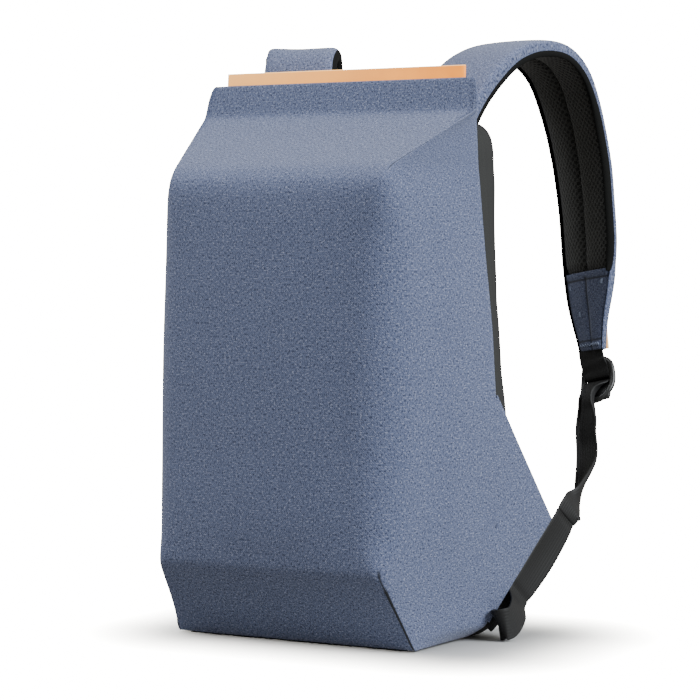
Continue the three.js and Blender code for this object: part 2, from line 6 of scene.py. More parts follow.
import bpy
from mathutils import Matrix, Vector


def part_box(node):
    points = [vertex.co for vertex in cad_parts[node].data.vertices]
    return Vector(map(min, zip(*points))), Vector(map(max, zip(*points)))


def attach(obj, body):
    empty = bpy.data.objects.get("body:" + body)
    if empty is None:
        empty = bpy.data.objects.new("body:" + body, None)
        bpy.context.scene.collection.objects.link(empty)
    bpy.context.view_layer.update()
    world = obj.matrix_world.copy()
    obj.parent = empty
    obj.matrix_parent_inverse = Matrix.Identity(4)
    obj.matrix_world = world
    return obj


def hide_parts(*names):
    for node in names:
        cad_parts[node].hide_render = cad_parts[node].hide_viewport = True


bl_info = {
    "name": "Anti Theft Backpack",
    "version": (1, 0, 0),
    "blender": (4, 5, 0),
    "location": "View3D > Sidebar > Backpack",
    "description": "Builds a cloth backpack with a folded collar, padded straps and webbing",
    "category": "Object",
}

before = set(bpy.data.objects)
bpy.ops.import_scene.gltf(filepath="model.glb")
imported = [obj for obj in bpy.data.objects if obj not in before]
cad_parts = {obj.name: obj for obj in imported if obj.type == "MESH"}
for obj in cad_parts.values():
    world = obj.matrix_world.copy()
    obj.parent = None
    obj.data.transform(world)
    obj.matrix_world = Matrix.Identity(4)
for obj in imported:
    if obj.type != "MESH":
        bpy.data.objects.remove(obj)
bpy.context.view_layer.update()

import math
from bisect import bisect
from functools import cache
from itertools import accumulate

import bmesh
import bpy
from bpy.props import FloatProperty, FloatVectorProperty, PointerProperty
from bpy.types import Operator, Panel, PropertyGroup
from mathutils import Matrix, Vector

MM = 0.001
GAP = 0.3 * MM  # between pieces that are sewn together


def smoothstep(value, low, high):
    """0 below the low value and 1 above the high one, with a smooth rise between them."""
    t = min(max((value - low) / (high - low), 0.0), 1.0)
    return t * t * (3 - 2 * t)


def run_lengths(points):
    """The length along a line of points, from its start to each of them."""
    return list(accumulate(((b - a).length for a, b in zip(points, points[1:])), initial=0.0))


def on_side(spot, side):
    """A place of the right side, or with a side of -1 the same place on the left."""
    return Vector((spot.x * side, spot.y, spot.z))


def linear(code):
    """An sRGB hex colour as linear red, green, blue and alpha."""
    parts = [int(code[i : i + 2], 16) / 255 for i in (1, 3, 5)]
    return [p / 12.92 if p <= 0.04045 else ((p + 0.055) / 1.055) ** 2.4 for p in parts] + [1.0]


# Sections of the pouch from the floor to the collar's edge: up of the bag's height, fore of the
# pouch's depth, face of the face's half width, seam of the seam's half width, soft of the corner,
# and how far the fuller left side stands out, in millimetres.
POUCH = (
    (0.0025, 0.681, 1.136, 0.8, 0.08, -3.0),
    (0.015, 0.71, 1.122, 0.876, 0.08, -2.0),
    (0.03, 0.74, 1.109, 0.941, 0.08, -2.4),
    (0.074, 0.84, 1.077, 0.959, 0.09, -1.7),
    (0.112, 0.93, 1.053, 0.97, 0.12, -0.4),
    (0.144, 0.998, 1.035, 0.979, 0.26, 0.4),
    (0.209, 1.0, 1.05, 0.99, 0.8, 0.1),
    (0.349, 0.975, 1.062, 1.0, 1.0, 1.4),
    (0.535, 0.946, 1.065, 0.974, 1.0, 2.4),
    (0.698, 0.92, 1.06, 0.922, 0.9, 2.0),
    (0.791, 0.905, 1.025, 0.896, 0.5, 2.4),
    (0.821, 0.876, 1.0, 0.888, 0.25, 3.1),
    (0.842, 0.8, 0.998, 0.88, 0.12, 4.4),
    (0.893, 0.432, 1.14, 0.87, 0.05, 5.0),
    (0.936, 0.152, 1.285, 0.86, 0.03, 1.0),
    (0.94, 0.126, 1.298, 0.859, 0.03, 0.6),
    (0.945, 0.11, 1.302, 0.858, 0.03, 0.6),
    (0.975, 0.078, 1.288, 0.85, 0.03, 1.0),
    (0.993, 0.058, 1.262, 0.842, 0.03, 1.5),
    (1.0, 0.05, 1.24, 0.835, 0.03, 1.0),
)
UP, FORE, FACE, SEAM, SOFT, LEFT = range(6)
STRAIGHT = 0.821  # above it the folds are straight between the rows
DART_TOP = 0.146
# The seams of the sloped top and the darts get a painted shadow line.
SLOPE_SEAM = (0.838, 0.942)  # where a seam runs down each corner of the sloped top

# Middle lines of the straps, from the back panel's top over and down to the wings: out of the
# spread, back of the reach, up of the bag's height, width of the strap's, and the bearing and the
# fall of the width in degrees.
RIGHT_ROUTE = (
    (0.43, 0.0, 0.865, 1.0, 0, 0),
    (0.415, 0.015, 0.915, 1.0, -3, 0),
    (0.426, 0.106, 0.962, 1.0, -6, 0),
    (0.464, 0.249, 1.015, 1.0, -10, 0),
    (0.507, 0.412, 1.057, 1.0, -13, 0),
    (0.566, 0.581, 1.077, 1.0, -15, 0),
    (0.64, 0.751, 1.072, 0.99, -16, 0),
    (0.689, 0.885, 1.036, 0.97, -18, 0),
    (0.73, 0.971, 0.966, 0.96, -20, 0),
    (0.772, 1.01, 0.878, 0.94, -23, 0),
    (0.81, 1.013, 0.782, 0.91, -25, 0),
    (0.843, 0.996, 0.684, 0.87, -24, 0),
    (0.873, 0.966, 0.591, 0.69, -21, 0),
    (0.913, 0.945, 0.504, 0.44, -18, 0),
    (0.93, 0.935, 0.449, 0.44, -16, 0),
    (0.947, 0.845, 0.408, 0.44, -14, 0),
    (0.963, 0.777, 0.36, 0.44, -13, 0),
    (0.993, 0.723, 0.319, 0.44, -14, 0),
    (1.03, 0.63, 0.288, 0.44, -26, -4),
    (1.07, 0.517, 0.258, 0.44, -50, -14),
    (1.115, 0.377, 0.228, 0.44, -78, -30),
)
LEFT_ROUTE = (
    (0.511, 0.0, 0.865, 1.0, 0, 0),
    (0.515, 0.005, 0.93, 1.0, 0, 0),
    (0.522, 0.028, 0.995, 0.96, -1, 0),
    (0.554, 0.09, 1.045, 0.9, -2, 0),
    (0.6, 0.183, 1.066, 0.89, -4, 0),
    (0.67, 0.287, 1.034, 0.95, -6, 0),
    (0.755, 0.409, 0.962, 0.99, -7, 0),
    (0.778, 0.613, 0.867, 0.96, -8, 0),
    (0.8, 0.822, 0.763, 0.93, -10, 0),
    (0.844, 0.956, 0.651, 0.9, -12, 0),
    (0.885, 0.997, 0.549, 0.85, -13, 0),
    (0.911, 0.976, 0.46, 0.68, -12, 0),
    (0.933, 0.944, 0.379, 0.44, -12, 0),
    (0.952, 0.88, 0.328, 0.44, -12, 0),
    (0.993, 0.729, 0.272, 0.44, -22, -4),
    (1.052, 0.555, 0.244, 0.44, -48, -14),
    (1.111, 0.38, 0.226, 0.44, -80, -30),
)

# The loop of webbing from a band's lower end round to the back corner, in webbing widths: out and
# back past that corner, up over the floor, then bearing and fall.
LOOP = (
    (0.58, 0.88, 0.92, -105, -48),
    (0.68, 0.24, 0.6, -105, -70),
    (0.6, -0.12, 0.565, -105, -76),
    (0.36, 0.0, 0.525, -90, -52),
    (0.144, 0.42, 0.46, -66, -22),
)


def length_prop(name, default, description):
    """A length, with its default in millimetres."""
    return FloatProperty(
        name=name, default=default * MM, description=description, unit="LENGTH", subtype="DISTANCE"
    )


def colour_prop(name, code, description):
    """A colour, with its default as an sRGB hex value."""
    return FloatVectorProperty(
        name=name, default=linear(code)[:3], description=description, subtype="COLOR", min=0.0, max=1.0
    )


class BackpackSizes(PropertyGroup):
    """Sizes of the cloth, straps and webbing."""

    height: length_prop("Height", 430, "Floor to the edge of the front collar")
    face_half: length_prop("Face half width", 94, "Half width of the front face")
    seam_half: length_prop("Seam half width", 135, "Widest half width, at the back seam")
    depth: length_prop("Pouch depth", 119, "Front face to the back seam")
    seam_y: length_prop("Seam plane", 40, "Place of the back seam")
    corner: length_prop("Corner", 34, "Softness of the long front corners")
    crown: length_prop("Crown", 4, "How far the front face bulges")
    side_puff: length_prop("Side puff", 2, "How far the side panels bulge")
    wall: length_prop("Cloth", 3, "Thickness of the foam-backed cloth")
    gusset: length_prop("Gusset", 22.7, "Depth of the gusset behind the seam")
    back_top: length_prop("Back top", 402, "Height of the back's top edge")
    back_corner: length_prop("Back corner", 38, "Size of the back's round top corners")
    pad: length_prop("Back pad", 10.7, "Thickness of the back panel")
    strap: length_prop("Strap width", 68, "Width of the padded straps")
    strap_thick: length_prop("Strap thickness", 12, "Thickness of the padded straps")
    strap_length: length_prop("Strap length", 444, "Padded strap from the panel to its stitched end")
    spread: length_prop("Strap spread", 135, "Unit of the strap routes, across")
    reach: length_prop("Strap reach", 172, "Unit of the strap routes, behind the back panel")
    webbing: length_prop("Webbing width", 25, "Width of the webbing")
    webbing_thick: length_prop("Webbing thickness", 1.6, "Thickness of the webbing")
    band: length_prop("Band", 78, "Length of the band along a wing's lower edge")
    lock: length_prop("Ladder lock", 38, "Length of a ladder lock between its outer bars")


class BackpackColours(PropertyGroup):
    """Colours of the cloth, leather, mesh and webbing."""

    cloth: colour_prop("Cloth", "#535c78", "Main yarn of the heathered cloth")
    fleck: colour_prop("Light yarn", "#7b8199", "Light yarn of the heathered cloth")
    shade: colour_prop("Dark yarn", "#2d354f", "Dark yarn of the heathered cloth")
    gusset: colour_prop("Gusset", "#191a19", "Woven cloth of the gusset")
    mesh: colour_prop("Mesh", "#20201f", "Knitted face of the spacer mesh")
    webbing: colour_prop("Webbing", "#0b0b0c", "Woven webbing")
    plastic: colour_prop("Plastic", "#0e0f0f", "Moulded ladder locks")
    leather: colour_prop("Leather", "#ff971c", "Grain side of the leather")
    leather_edge_and_highlight: colour_prop("Leather edge", "#ffc87c", "Raw cut edge of the leather")
    thread: colour_prop("Thread", "#7f8aa3", "Thread of the stitches at the strap's end")
    floor: colour_prop("Floor", "#b4b4b4", "Studio floor")


def sizes():
    return bpy.context.scene.backpack_sizes


def colours():
    return bpy.context.scene.backpack_colours


# Node materials


def fill(tree, node, inputs):
    """Gives a node's sockets their values or their links."""
    for name, value in inputs.items():
        if isinstance(value, bpy.types.NodeSocket):
            tree.links.new(value, node.inputs[name])
        else:
            node.inputs[name].default_value = value


def add(tree, kind, inputs, result=0, **settings):
    """Adds a shader node with its settings, values and links, and gives one of its outputs."""
    node = tree.nodes.new("ShaderNode" + kind)
    for name, value in settings.items():
        setattr(node, name, value)
    fill(tree, node, inputs)
    return node.outputs[result]


MIX = {"result": 2, "data_type": "RGBA"}  # inputs 0, 6 and 7 are the share and the two colours
SMOOTH = {"interpolation_type": "SMOOTHSTEP"}
WEAVE = {"uv_map": "Weave"}
# Near black: the spacer mesh's open holes, and the painted shade in the webbing's folds.
DEEP_HOLE = linear("#030303")


def new_material(name):
    """A material, its node tree and its Principled shader."""
    made = bpy.data.materials.new(name)
    made.use_nodes = True
    return made, made.node_tree, made.node_tree.nodes["Principled BSDF"]


def toned(colour, tone=1.0):
    """A colour at a share of its brightness, with its alpha."""
    return (*[tone * v for v in colour[:3]], 1.0)


def dress(tree, shader, colour, line_shade_and_pale_edge, relief, values):
    """Links a colour that changes along the marked lines, painted shade in seams, creases, folds and joins
    and on leather its pale edges, and a relief: its height, strength and depth in mm.
    """
    # The seam attribute marks where the painted shade lines go, and on leather the pale edges.
    seam = add(tree, "Attribute", {}, "Fac", attribute_name="seam")
    colour = add(tree, "Mix", {0: seam, 6: colour, 7: line_shade_and_pale_edge}, **MIX)
    height, strength, depth = relief
    bump = add(tree, "Bump", {"Height": height, "Strength": strength, "Distance": depth * MM})
    fill(tree, shader, {"Base Color": colour, "Normal": bump, **values})
    return colour


def ridges(tree, uv, axis, pitch):
    """Threads side by side along one axis, a pitch apart in millimetres, as a height from -1 to 1."""
    place = add(tree, "SeparateXYZ", {0: uv}, axis)
    angle = add(tree, "Math", {0: place, 1: math.pi / pitch}, operation="MULTIPLY")
    return add(tree, "Math", {0: angle}, operation="SINE")


def weave_height(tree, uv, pitch):
    """Over and under of a plain weave, as a height from 0 to 1."""
    both = {axis: ridges(tree, uv, axis, pitch) for axis in (0, 1)}
    both = add(tree, "Math", both, operation="MULTIPLY")
    return add(tree, "Math", {0: both, 1: 0.5, 2: 0.5}, operation="MULTIPLY_ADD")


def heathered_cloth(name, tone):
    """Foam-backed polyester canvas, plain woven from melange yarn.

    The yarn mixes blue, pale and dark fibres, so the cloth is speckled and has a soft, matt look.
    The yarns are 0.6 mm apart, drawn at 0.9 mm so that the flecks show in the render.
    """
    c = colours()
    made, tree, shader = new_material(name)
    uv = add(tree, "UVMap", {}, **WEAVE)
    yarn, patch = 0.9, 38
    flecks, shares = [], []
    # Pale flecks along the weft, dark ones along the warp, and the fibres themselves.
    for across, down, seed, low, high in (
        (2.4, 1.0, 3.0, 0.52, 0.68),
        (1.0, 2.2, 11.0, 0.52, 0.66),
        (1.3, 1.1, 27.0, 0.3, 0.7),
    ):
        scale = (1 / (yarn * across), 1 / (yarn * down), 1)
        place = add(tree, "Mapping", {"Vector": uv, "Scale": scale, "Location": (seed, seed, 0)})
        flecks.append(add(tree, "TexNoise", {"Vector": place, "Scale": 1.0, "Detail": 1.0}))
        limits = {"Value": flecks[-1], "From Min": low, "From Max": high}
        shares.append(add(tree, "MapRange", limits, **SMOOTH))
    pale, dark, fibres = shares
    drift = add(tree, "TexNoise", {"Vector": uv, "Scale": 1 / patch, "Detail": 2.0})
    colour = add(tree, "Mix", {0: pale, 6: toned(c.cloth, tone), 7: toned(c.fleck, tone)}, **MIX)
    colour = add(tree, "Mix", {0: dark, 6: colour, 7: toned(c.shade, tone)}, **MIX)
    for share, low, high in (
        (fibres, (0.82, 0.82, 0.83, 1), (1.16, 1.16, 1.15, 1)),
        (drift, (0.95, 0.95, 0.955, 1), (1.05, 1.05, 1.045, 1)),
    ):
        change = add(tree, "Mix", {0: share, 6: low, 7: high}, **MIX)
        colour = add(tree, "Mix", {0: 1.0, 6: colour, 7: change}, **MIX, blend_type="MULTIPLY")
    height = add(tree, "Math", {0: weave_height(tree, uv, yarn), 1: flecks[-1]}, operation="ADD")
    values = {"Roughness": 0.92, "Specular IOR Level": 0.25, "Sheen Weight": 0.12, "Sheen Roughness": 0.6}
    # 0d1016 is painted shade: the shadow line in the pouch's seams and darts, and in the strap end's crease
    #                          and hems.
    dress(tree, shader, colour, linear("#0d1016"), (height, 0.5, 0.25), values)
    return made


def nylon_cloth(name, tone):
    """Woven nylon of the gusset and tapes: charcoal, flatter and a little shinier than the canvas.

    The yarns are 0.5 mm apart, drawn at 1 mm.
    """
    gusset = colours().gusset
    made, tree, shader = new_material(name)
    uv = add(tree, "UVMap", {}, **WEAVE)
    grain = add(tree, "TexNoise", {"Vector": uv, "Scale": 0.8, "Detail": 2.0})
    share = add(tree, "MapRange", {"Value": grain, "From Min": 0.3, "From Max": 0.7}, **SMOOTH)
    dark, pale = toned(gusset, 0.62 * tone), toned(gusset, 1.35 * tone)
    colour = add(tree, "Mix", {0: share, 6: dark, 7: pale}, **MIX)
    values = {"Roughness": 0.85, "Specular IOR Level": 0.5 * tone}
    # 161616 along the gusset's marked rows: painted shade at its joins, and its dark middle line.
    dress(tree, shader, colour, linear("#161616"), (weave_height(tree, uv, 1.0), 0.5, 0.2), values)
    return made


def spacer_mesh():
    """Knitted polyester spacer mesh: a springy black net with staggered rows of oval holes.

    The holes are 3.6 mm apart.
    """
    mesh = colours().mesh
    made, tree, shader = new_material("spacer_mesh")
    uv = add(tree, "UVMap", {}, **WEAVE)
    pitch = 3.6
    oval = add(tree, "Mapping", {"Vector": uv, "Scale": (1.15, 0.85, 1)})
    turned = {"Vector": oval, "Rotation": (0, 0, math.radians(45)), "Scale": (1 / pitch, 1 / pitch, 1)}
    turned = add(tree, "Mapping", turned)
    cells = add(tree, "TexVoronoi", {"Vector": turned, "Scale": 1.0, "Randomness": 0.1})
    net = add(tree, "MapRange", {"Value": cells, "From Min": 0.26, "From Max": 0.46}, **SMOOTH)
    fuzz = add(tree, "TexNoise", {"Vector": uv, "Scale": 1.4, "Detail": 2.0})
    knit = add(tree, "Mix", {0: fuzz, 6: toned(mesh, 1.1), 7: toned(mesh, 2.6)}, **MIX)
    colour = add(tree, "Mix", {0: net, 6: DEEP_HOLE, 7: knit}, **MIX)
    values = {"Roughness": 0.85, "Sheen Weight": 0.08}
    # 070707 along the strap pad's middle seam: painted shade in the valley between its lobes.
    dress(tree, shader, colour, linear("#070707"), (net, 0.8, 0.8), values)
    return made


def nylon_webbing():
    """Woven nylon webbing: flat ribs 1.2 mm apart along its length and a faint gloss."""
    webbing = colours().webbing
    made, tree, shader = new_material("nylon_webbing")
    uv = add(tree, "UVMap", {}, **WEAVE)
    fuzz = add(tree, "TexNoise", {"Vector": uv, "Scale": 0.9, "Detail": 2.0})
    share = add(tree, "MapRange", {"Value": fuzz, "From Min": 0.3, "From Max": 0.7}, **SMOOTH)
    colour = add(tree, "Mix", {0: share, 6: toned(webbing, 0.7), 7: toned(webbing, 1.6)}, **MIX)
    heights = {0: ridges(tree, uv, 1, 0.8), 1: 0.35, 2: ridges(tree, uv, 0, 1.2)}
    height = add(tree, "Math", heights, operation="MULTIPLY_ADD")
    values = {"Roughness": 0.62, "Specular IOR Level": 0.36}
    # DEEP_HOLE along the band's folded ends: painted shade in their creases.
    dress(tree, shader, colour, DEEP_HOLE, (height, 0.25, 0.15), values)
    return made


def moulded_acetal():
    """Acetal, injection moulded against a fine spark-eroded texture of about 0.4 mm: satin black."""
    made, tree, shader = new_material("moulded_acetal")
    place = add(tree, "TexCoord", {}, "Object")
    grain = add(tree, "TexNoise", {"Vector": place, "Scale": 1 / (0.4 * MM), "Detail": 1.0})
    rough = add(tree, "MapRange", {"Value": grain, "To Min": 0.32, "To Max": 0.46})
    bump = add(tree, "Bump", {"Height": grain, "Strength": 0.2, "Distance": 0.05 * MM})
    plastic = toned(colours().plastic)
    fill(tree, shader, {"Base Color": plastic, "Roughness": rough, "IOR": 1.48, "Normal": bump})
    return made


def bridle_leather():
    """Vegetable-tanned leather, cut and left raw at its edges: smooth tan grain, pale edges.

    The grain cells are 0.9 mm wide, and the tan drifts over 25 mm and is paler to the left. Its pale
    edge colour is also a painted highlight along the lip's top rim. It also glows with its own colour,
    a painted glow, because the view transform dulls a warm tan.
    """
    leather, edge = colours().leather, toned(colours().leather_edge_and_highlight)
    made, tree, shader = new_material("tanned_leather")
    place = add(tree, "TexCoord", {}, "Object")
    cells = add(tree, "TexVoronoi", {"Vector": place, "Scale": 1 / (0.9 * MM)})
    drift = add(tree, "TexNoise", {"Vector": place, "Scale": 1 / (25 * MM), "Detail": 4.0})
    share = add(tree, "MapRange", {"Value": drift, "From Min": 0.3, "From Max": 0.7}, **SMOOTH)
    deep = (*[v * f for v, f in zip(leather, (0.86, 0.8, 0.72))], 1.0)
    colour = add(tree, "Mix", {0: share, 6: deep, 7: toned(leather)}, **MIX)
    x = add(tree, "SeparateXYZ", {0: place})
    left = add(tree, "MapRange", {"Value": x, "From Min": 0.1, "From Max": -0.12, "To Max": 0.6})
    colour = add(tree, "Mix", {0: left, 6: colour, 7: edge}, **MIX)
    rough = add(tree, "MapRange", {"Value": drift, "To Min": 0.42, "To Max": 0.6})
    colour = dress(tree, shader, colour, edge, (cells, 0.25, 0.1), {"Roughness": rough})
    # Painted glow: the leather gives off its own colour, though it is no lamp.
    fill(tree, shader, {"Emission Color": colour, "Emission Strength": 1.0})
    return made


def bonded_thread():
    """Bonded polyester thread, 0.5 mm thick, with a slight shine from its coating."""
    made, tree, shader = new_material("blue_thread")
    place = add(tree, "TexCoord", {}, "Object")
    twist = add(tree, "TexNoise", {"Vector": place, "Scale": 1 / (0.5 * MM)})
    thread = colours().thread
    colour = add(tree, "Mix", {0: twist, 6: toned(thread, 0.7), 7: toned(thread)}, **MIX)
    fill(tree, shader, {"Base Color": colour, "Roughness": 0.55})
    return made


# The slot and the maker of each finish.
FINISHES = {
    "cloth": ("blue_cloth", lambda: heathered_cloth("heathered_canvas", 1.0)),
    # The same canvas at 0.7 of its brightness: painted shade for the strap's cloth-covered end.
    "cloth_in_painted_shade": ("blue_cloth", lambda: heathered_cloth("heathered_canvas_shaded", 0.7)),
    "nylon": ("grey_cloth", lambda: nylon_cloth("woven_nylon", 1.0)),
    "tape": ("black_webbing", lambda: nylon_cloth("nylon_tape", 0.28)),
    "mesh": ("black_mesh", spacer_mesh),
    "webbing": ("black_webbing", nylon_webbing),
    "plastic": ("black_plastic", moulded_acetal),
    "leather": ("tan_leather", bridle_leather),
    "thread": ("blue_cloth", bonded_thread),
}


@cache
def material(finish):
    """The finish's material, made once."""
    return FINISHES[finish][1]()


def paper_floor():
    """White paper under the bag, grey near it and lost in the white backdrop 12 cm away, so that no horizon
    shows. The grey round the bag's foot, set to its right and back, is a painted shadow.
    """
    made, tree, shader = new_material("white_paper")
    fill(tree, shader, {"Base Color": toned(colours().floor), "Roughness": 0.9})
    # Painted shadow: the grey paper is opaque round the bag's foot and turns clear with distance.
    away = add(tree, "TexCoord", {}, "Object")
    for operation, second in (
        ("SUBTRACT", (0.03, 0.03, 0)),
        ("ABSOLUTE", (0, 0, 0)),
        ("SUBTRACT", (0.1, 0.045, 0)),
        ("MAXIMUM", (0, 0, 0)),
    ):
        away = add(tree, "VectorMath", {0: away, 1: second}, operation=operation)
    far = add(tree, "VectorMath", {0: away}, "Value", operation="LENGTH")
    far = add(tree, "MapRange", {"Value": far, "From Max": 0.12})
    far = add(tree, "Math", {0: far, 1: 3.0}, operation="POWER")
    clear = add(tree, "BsdfTransparent", {})
    mixed = add(tree, "MixShader", {0: far, 1: shader.outputs[0], 2: clear})
    fill(tree, tree.nodes["Material Output"], {"Surface": mixed})
    return made


# Shapes


def cloth_grid(columns, rows, place, uv, seam=None, close=False):
    """A grid whose points are put in space by place(i, j), with a UV map in millimetres."""
    bm = bmesh.new()
    bmesh.ops.create_grid(bm, x_segments=columns, y_segments=rows, size=0.5)
    weave = bm.loops.layers.uv.new("Weave")
    mark = bm.verts.layers.float.new("seam")
    spots = {v: (round((v.co.x + 0.5) * columns), round((v.co.y + 0.5) * rows)) for v in bm.verts}
    for face in bm.faces:
        for loop in face.loops:
            loop[weave].uv = uv(*spots[loop.vert])
    for vert, spot in spots.items():
        vert.co = place(*spot)
        if seam:
            vert[mark] = seam(*spot)
    if close:
        bmesh.ops.remove_doubles(bm, verts=bm.verts, dist=1e-6)
    return bm


def close_ends(bm):
    """Flat faces over the open ends of a tube."""
    rims = [edge for edge in bm.edges if edge.is_boundary]
    bmesh.ops.holes_fill(bm, edges=rims, sides=0)


def thread_run(lines, radius=0.35 * MM):
    """Stitches laid along zigzag lines: one short thread for each pair of points."""
    bm = bmesh.new()
    for line in lines:
        for a, b in zip(line, line[1:]):
            made = bmesh.ops.create_cone(
                bm, cap_ends=True, segments=6, radius1=radius, radius2=radius, depth=(b - a).length
            )["verts"]
            turn = (b - a).to_track_quat("Z", "Y").to_matrix().to_4x4()
            bmesh.ops.transform(bm, verts=made, matrix=Matrix.Translation((a + b) / 2) @ turn)
    return bm


def put(name, data):
    """An object in the scene's collection."""
    made = bpy.data.objects.new(name, data)
    bpy.context.collection.objects.link(made)
    return made


def piece(name, bm, finish, replaces=(), solid=0.0, offset=0.0, smooth=1):
    """Makes an object of a bmesh, with its material and its modifiers."""
    bmesh.ops.recalc_face_normals(bm, faces=bm.faces)
    data = bpy.data.meshes.new(name)
    bm.to_mesh(data)
    bm.free()
    made = put(name, data)
    data.materials.append(material(finish))
    data.shade_smooth()
    if solid:
        wall = made.modifiers.new("Thickness", "SOLIDIFY")
        wall.thickness = solid
        wall.offset = offset
        wall.use_quality_normals = True
    if smooth:
        sub = made.modifiers.new("Smooth", "SUBSURF")
        sub.levels = sub.render_levels = smooth
    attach(made, "root")
    if replaces:
        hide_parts(*replaces)


def smooth_table(rows, straight=math.inf):
    """Monotone curves through every column of a table, over its first column; above a height, lines."""
    heights = [row[0] for row in rows]
    slopes = []
    for k in range(1, len(rows[0])):
        steps = [(b[k] - a[k]) / (b[0] - a[0]) for a, b in zip(rows, rows[1:])]
        inner = [0.0 if p * q <= 0 else 2 * p * q / (p + q) for p, q in zip(steps, steps[1:])]
        slopes.append([steps[0], *inner, steps[-1]])

    def at(height):
        i = min(max(bisect(heights, height) - 1, 0), len(rows) - 2)
        gap = heights[i + 1] - heights[i]
        t = min(max((height - heights[i]) / gap, 0.0), 1.0)
        values = [height]
        for k, slope in enumerate(slopes, 1):
            a, b = rows[i][k], rows[i + 1][k]
            if heights[i] >= straight:
                curve = a + (b - a) * t
            else:
                curve = (2 * t**3 - 3 * t**2 + 1) * a + (3 * t**2 - 2 * t**3) * b
                curve += gap * ((t**3 - 2 * t**2 + t) * slope[i] + (t**3 - t**2) * slope[i + 1])
            values.append(curve)
        return values

    return at


pouch_at = smooth_table(POUCH, STRAIGHT)

# Columns of half a section: the face, its round corner and the side, as shares of their lengths.
FACE_COLUMNS, BEND_COLUMNS, SIDE_COLUMNS = 12, 8, 13
HALF_COLUMNS = FACE_COLUMNS + BEND_COLUMNS + SIDE_COLUMNS


def pouch_point(up, column):
    """A point of the pouch's cloth: column runs from the middle of the face to the right seam."""
    s = sizes()
    row = pouch_at(up)
    left = column < 0
    front = s.seam_y - row[FORE] * s.depth
    corner = Vector((row[FACE] * s.face_half + (row[LEFT] * MM if left else 0.0), front))
    seam = Vector((row[SEAM] * s.seam_half, s.seam_y))
    side = (seam - corner).length
    soft = min(row[SOFT] * s.corner * (0.6 if left else 1.1), side * 0.45)
    start = Vector((corner.x - soft, front))
    end = corner.lerp(seam, soft / side)
    n = abs(column)
    if n <= FACE_COLUMNS:
        share = n / FACE_COLUMNS
        spot = Vector((start.x * share, front - s.crown * row[SOFT] * (1 - share * share)))
    elif n <= FACE_COLUMNS + BEND_COLUMNS:
        t = (n - FACE_COLUMNS) / BEND_COLUMNS
        spot = start * (1 - t) ** 2 + corner * (2 * t * (1 - t)) + end * t * t
    else:
        share = (n - FACE_COLUMNS - BEND_COLUMNS) / SIDE_COLUMNS
        spot = end.lerp(seam, share)
        away = Vector((seam.y - end.y, end.x - seam.x)).normalized()
        spot += away * s.side_puff * row[SOFT] * math.sin(math.pi * share) ** 2
    rise = 1.6 * MM * smoothstep(up, 0.95, 1)  # the collar's edge stands a little over its height
    return Vector((math.copysign(spot.x, column), spot.y, up * s.height + rise))


def levels_between(rows, gap):
    """The table's own heights, with more between them so that no gap is wider than the given one."""
    levels = []
    for low, high in zip(rows, rows[1:]):
        steps = max(1, math.ceil((high - low) / gap))
        levels += [low + (high - low) * k / steps for k in range(steps)]
    return levels + [rows[-1]]


def seam_x(z):
    """Half the bag's width at the back seam, at a height."""
    return pouch_at(z / sizes().height)[SEAM] * sizes().seam_half


WING_TIP = Vector((0.150, 0.106, 0.089))
WING_FOOT, WING_TOP = 0.013, 0.190


def wing_point(z, share):
    """A point of the right wing, from the seam to its slanting edge."""
    s = sizes()
    low = z <= WING_TIP.z
    part = (z - WING_FOOT) / (WING_TIP.z - WING_FOOT) if low else (WING_TOP - z) / (WING_TOP - WING_TIP.z)
    foot = seam_x(WING_FOOT if low else WING_TOP)
    edge = Vector((foot + (WING_TIP.x - foot) * part, s.seam_y + (WING_TIP.y - s.seam_y) * part, z))
    return Vector((seam_x(z), s.seam_y, z)).lerp(edge, share)


def build_pouch():
    """The pouch's cloth with its collar, its darts and the two wings, as one sheet with a wall."""
    s = sizes()
    levels = levels_between([row[0] for row in POUCH], 5 * MM / s.height)
    columns = 2 * HALF_COLUMNS
    sections = [[pouch_point(level, i - HALF_COLUMNS) for i in range(columns + 1)] for level in levels]
    # The cloth's own length up the middle of the face, and from there round each section.
    climb = run_lengths([section[HALF_COLUMNS] for section in sections])
    girth = [run_lengths(section) for section in sections]

    def uv(i, j):
        return (girth[j][i] - girth[j][HALF_COLUMNS]) / MM, climb[j] / MM

    def seam(i, j):
        # Marks the painted shadow line down each corner of the sloped top and along the darts at the foot.
        up, column = levels[j], i - HALF_COLUMNS
        if up > SLOPE_SEAM[1] or DART_TOP < up < SLOPE_SEAM[0]:
            return 0.0
        corner = math.copysign(FACE_COLUMNS + BEND_COLUMNS / 2, column)
        near = (pouch_point(up, column) - pouch_point(up, corner)).length < 1.0 * MM
        return float(column == corner or (near and up < DART_TOP))

    bm = cloth_grid(columns, len(levels) - 1, lambda i, j: sections[j][i], uv, seam)
    heights = [level * s.height for level in levels if WING_FOOT < level * s.height < WING_TOP]
    heights = sorted({WING_FOOT, *heights, WING_TIP.z, WING_TOP})
    across = 16
    seam_run = uv(columns, 8)[0]  # where the weave goes on from the seam at the wings' height
    for side in (1, -1):
        def place(i, j, side=side):
            return on_side(wing_point(heights[j], i / across), side)

        def wing_uv(i, j, side=side):
            run = seam_run + (wing_point(heights[j], i / across).y - s.seam_y) / MM
            return side * run, heights[j] / MM

        part = cloth_grid(across, len(heights) - 1, place, wing_uv)
        data = bpy.data.meshes.new("wing")
        part.to_mesh(data)
        part.free()
        bm.from_mesh(data)
        bpy.data.meshes.remove(data)
    bmesh.ops.remove_doubles(bm, verts=bm.verts, dist=2e-5)
    bmesh.ops.dissolve_degenerate(bm, dist=1e-5, edges=bm.edges)
    piece("pouch", bm, "cloth", ("front_shell", "wing_right", "wing_left"), solid=s.wall, offset=-1.0)


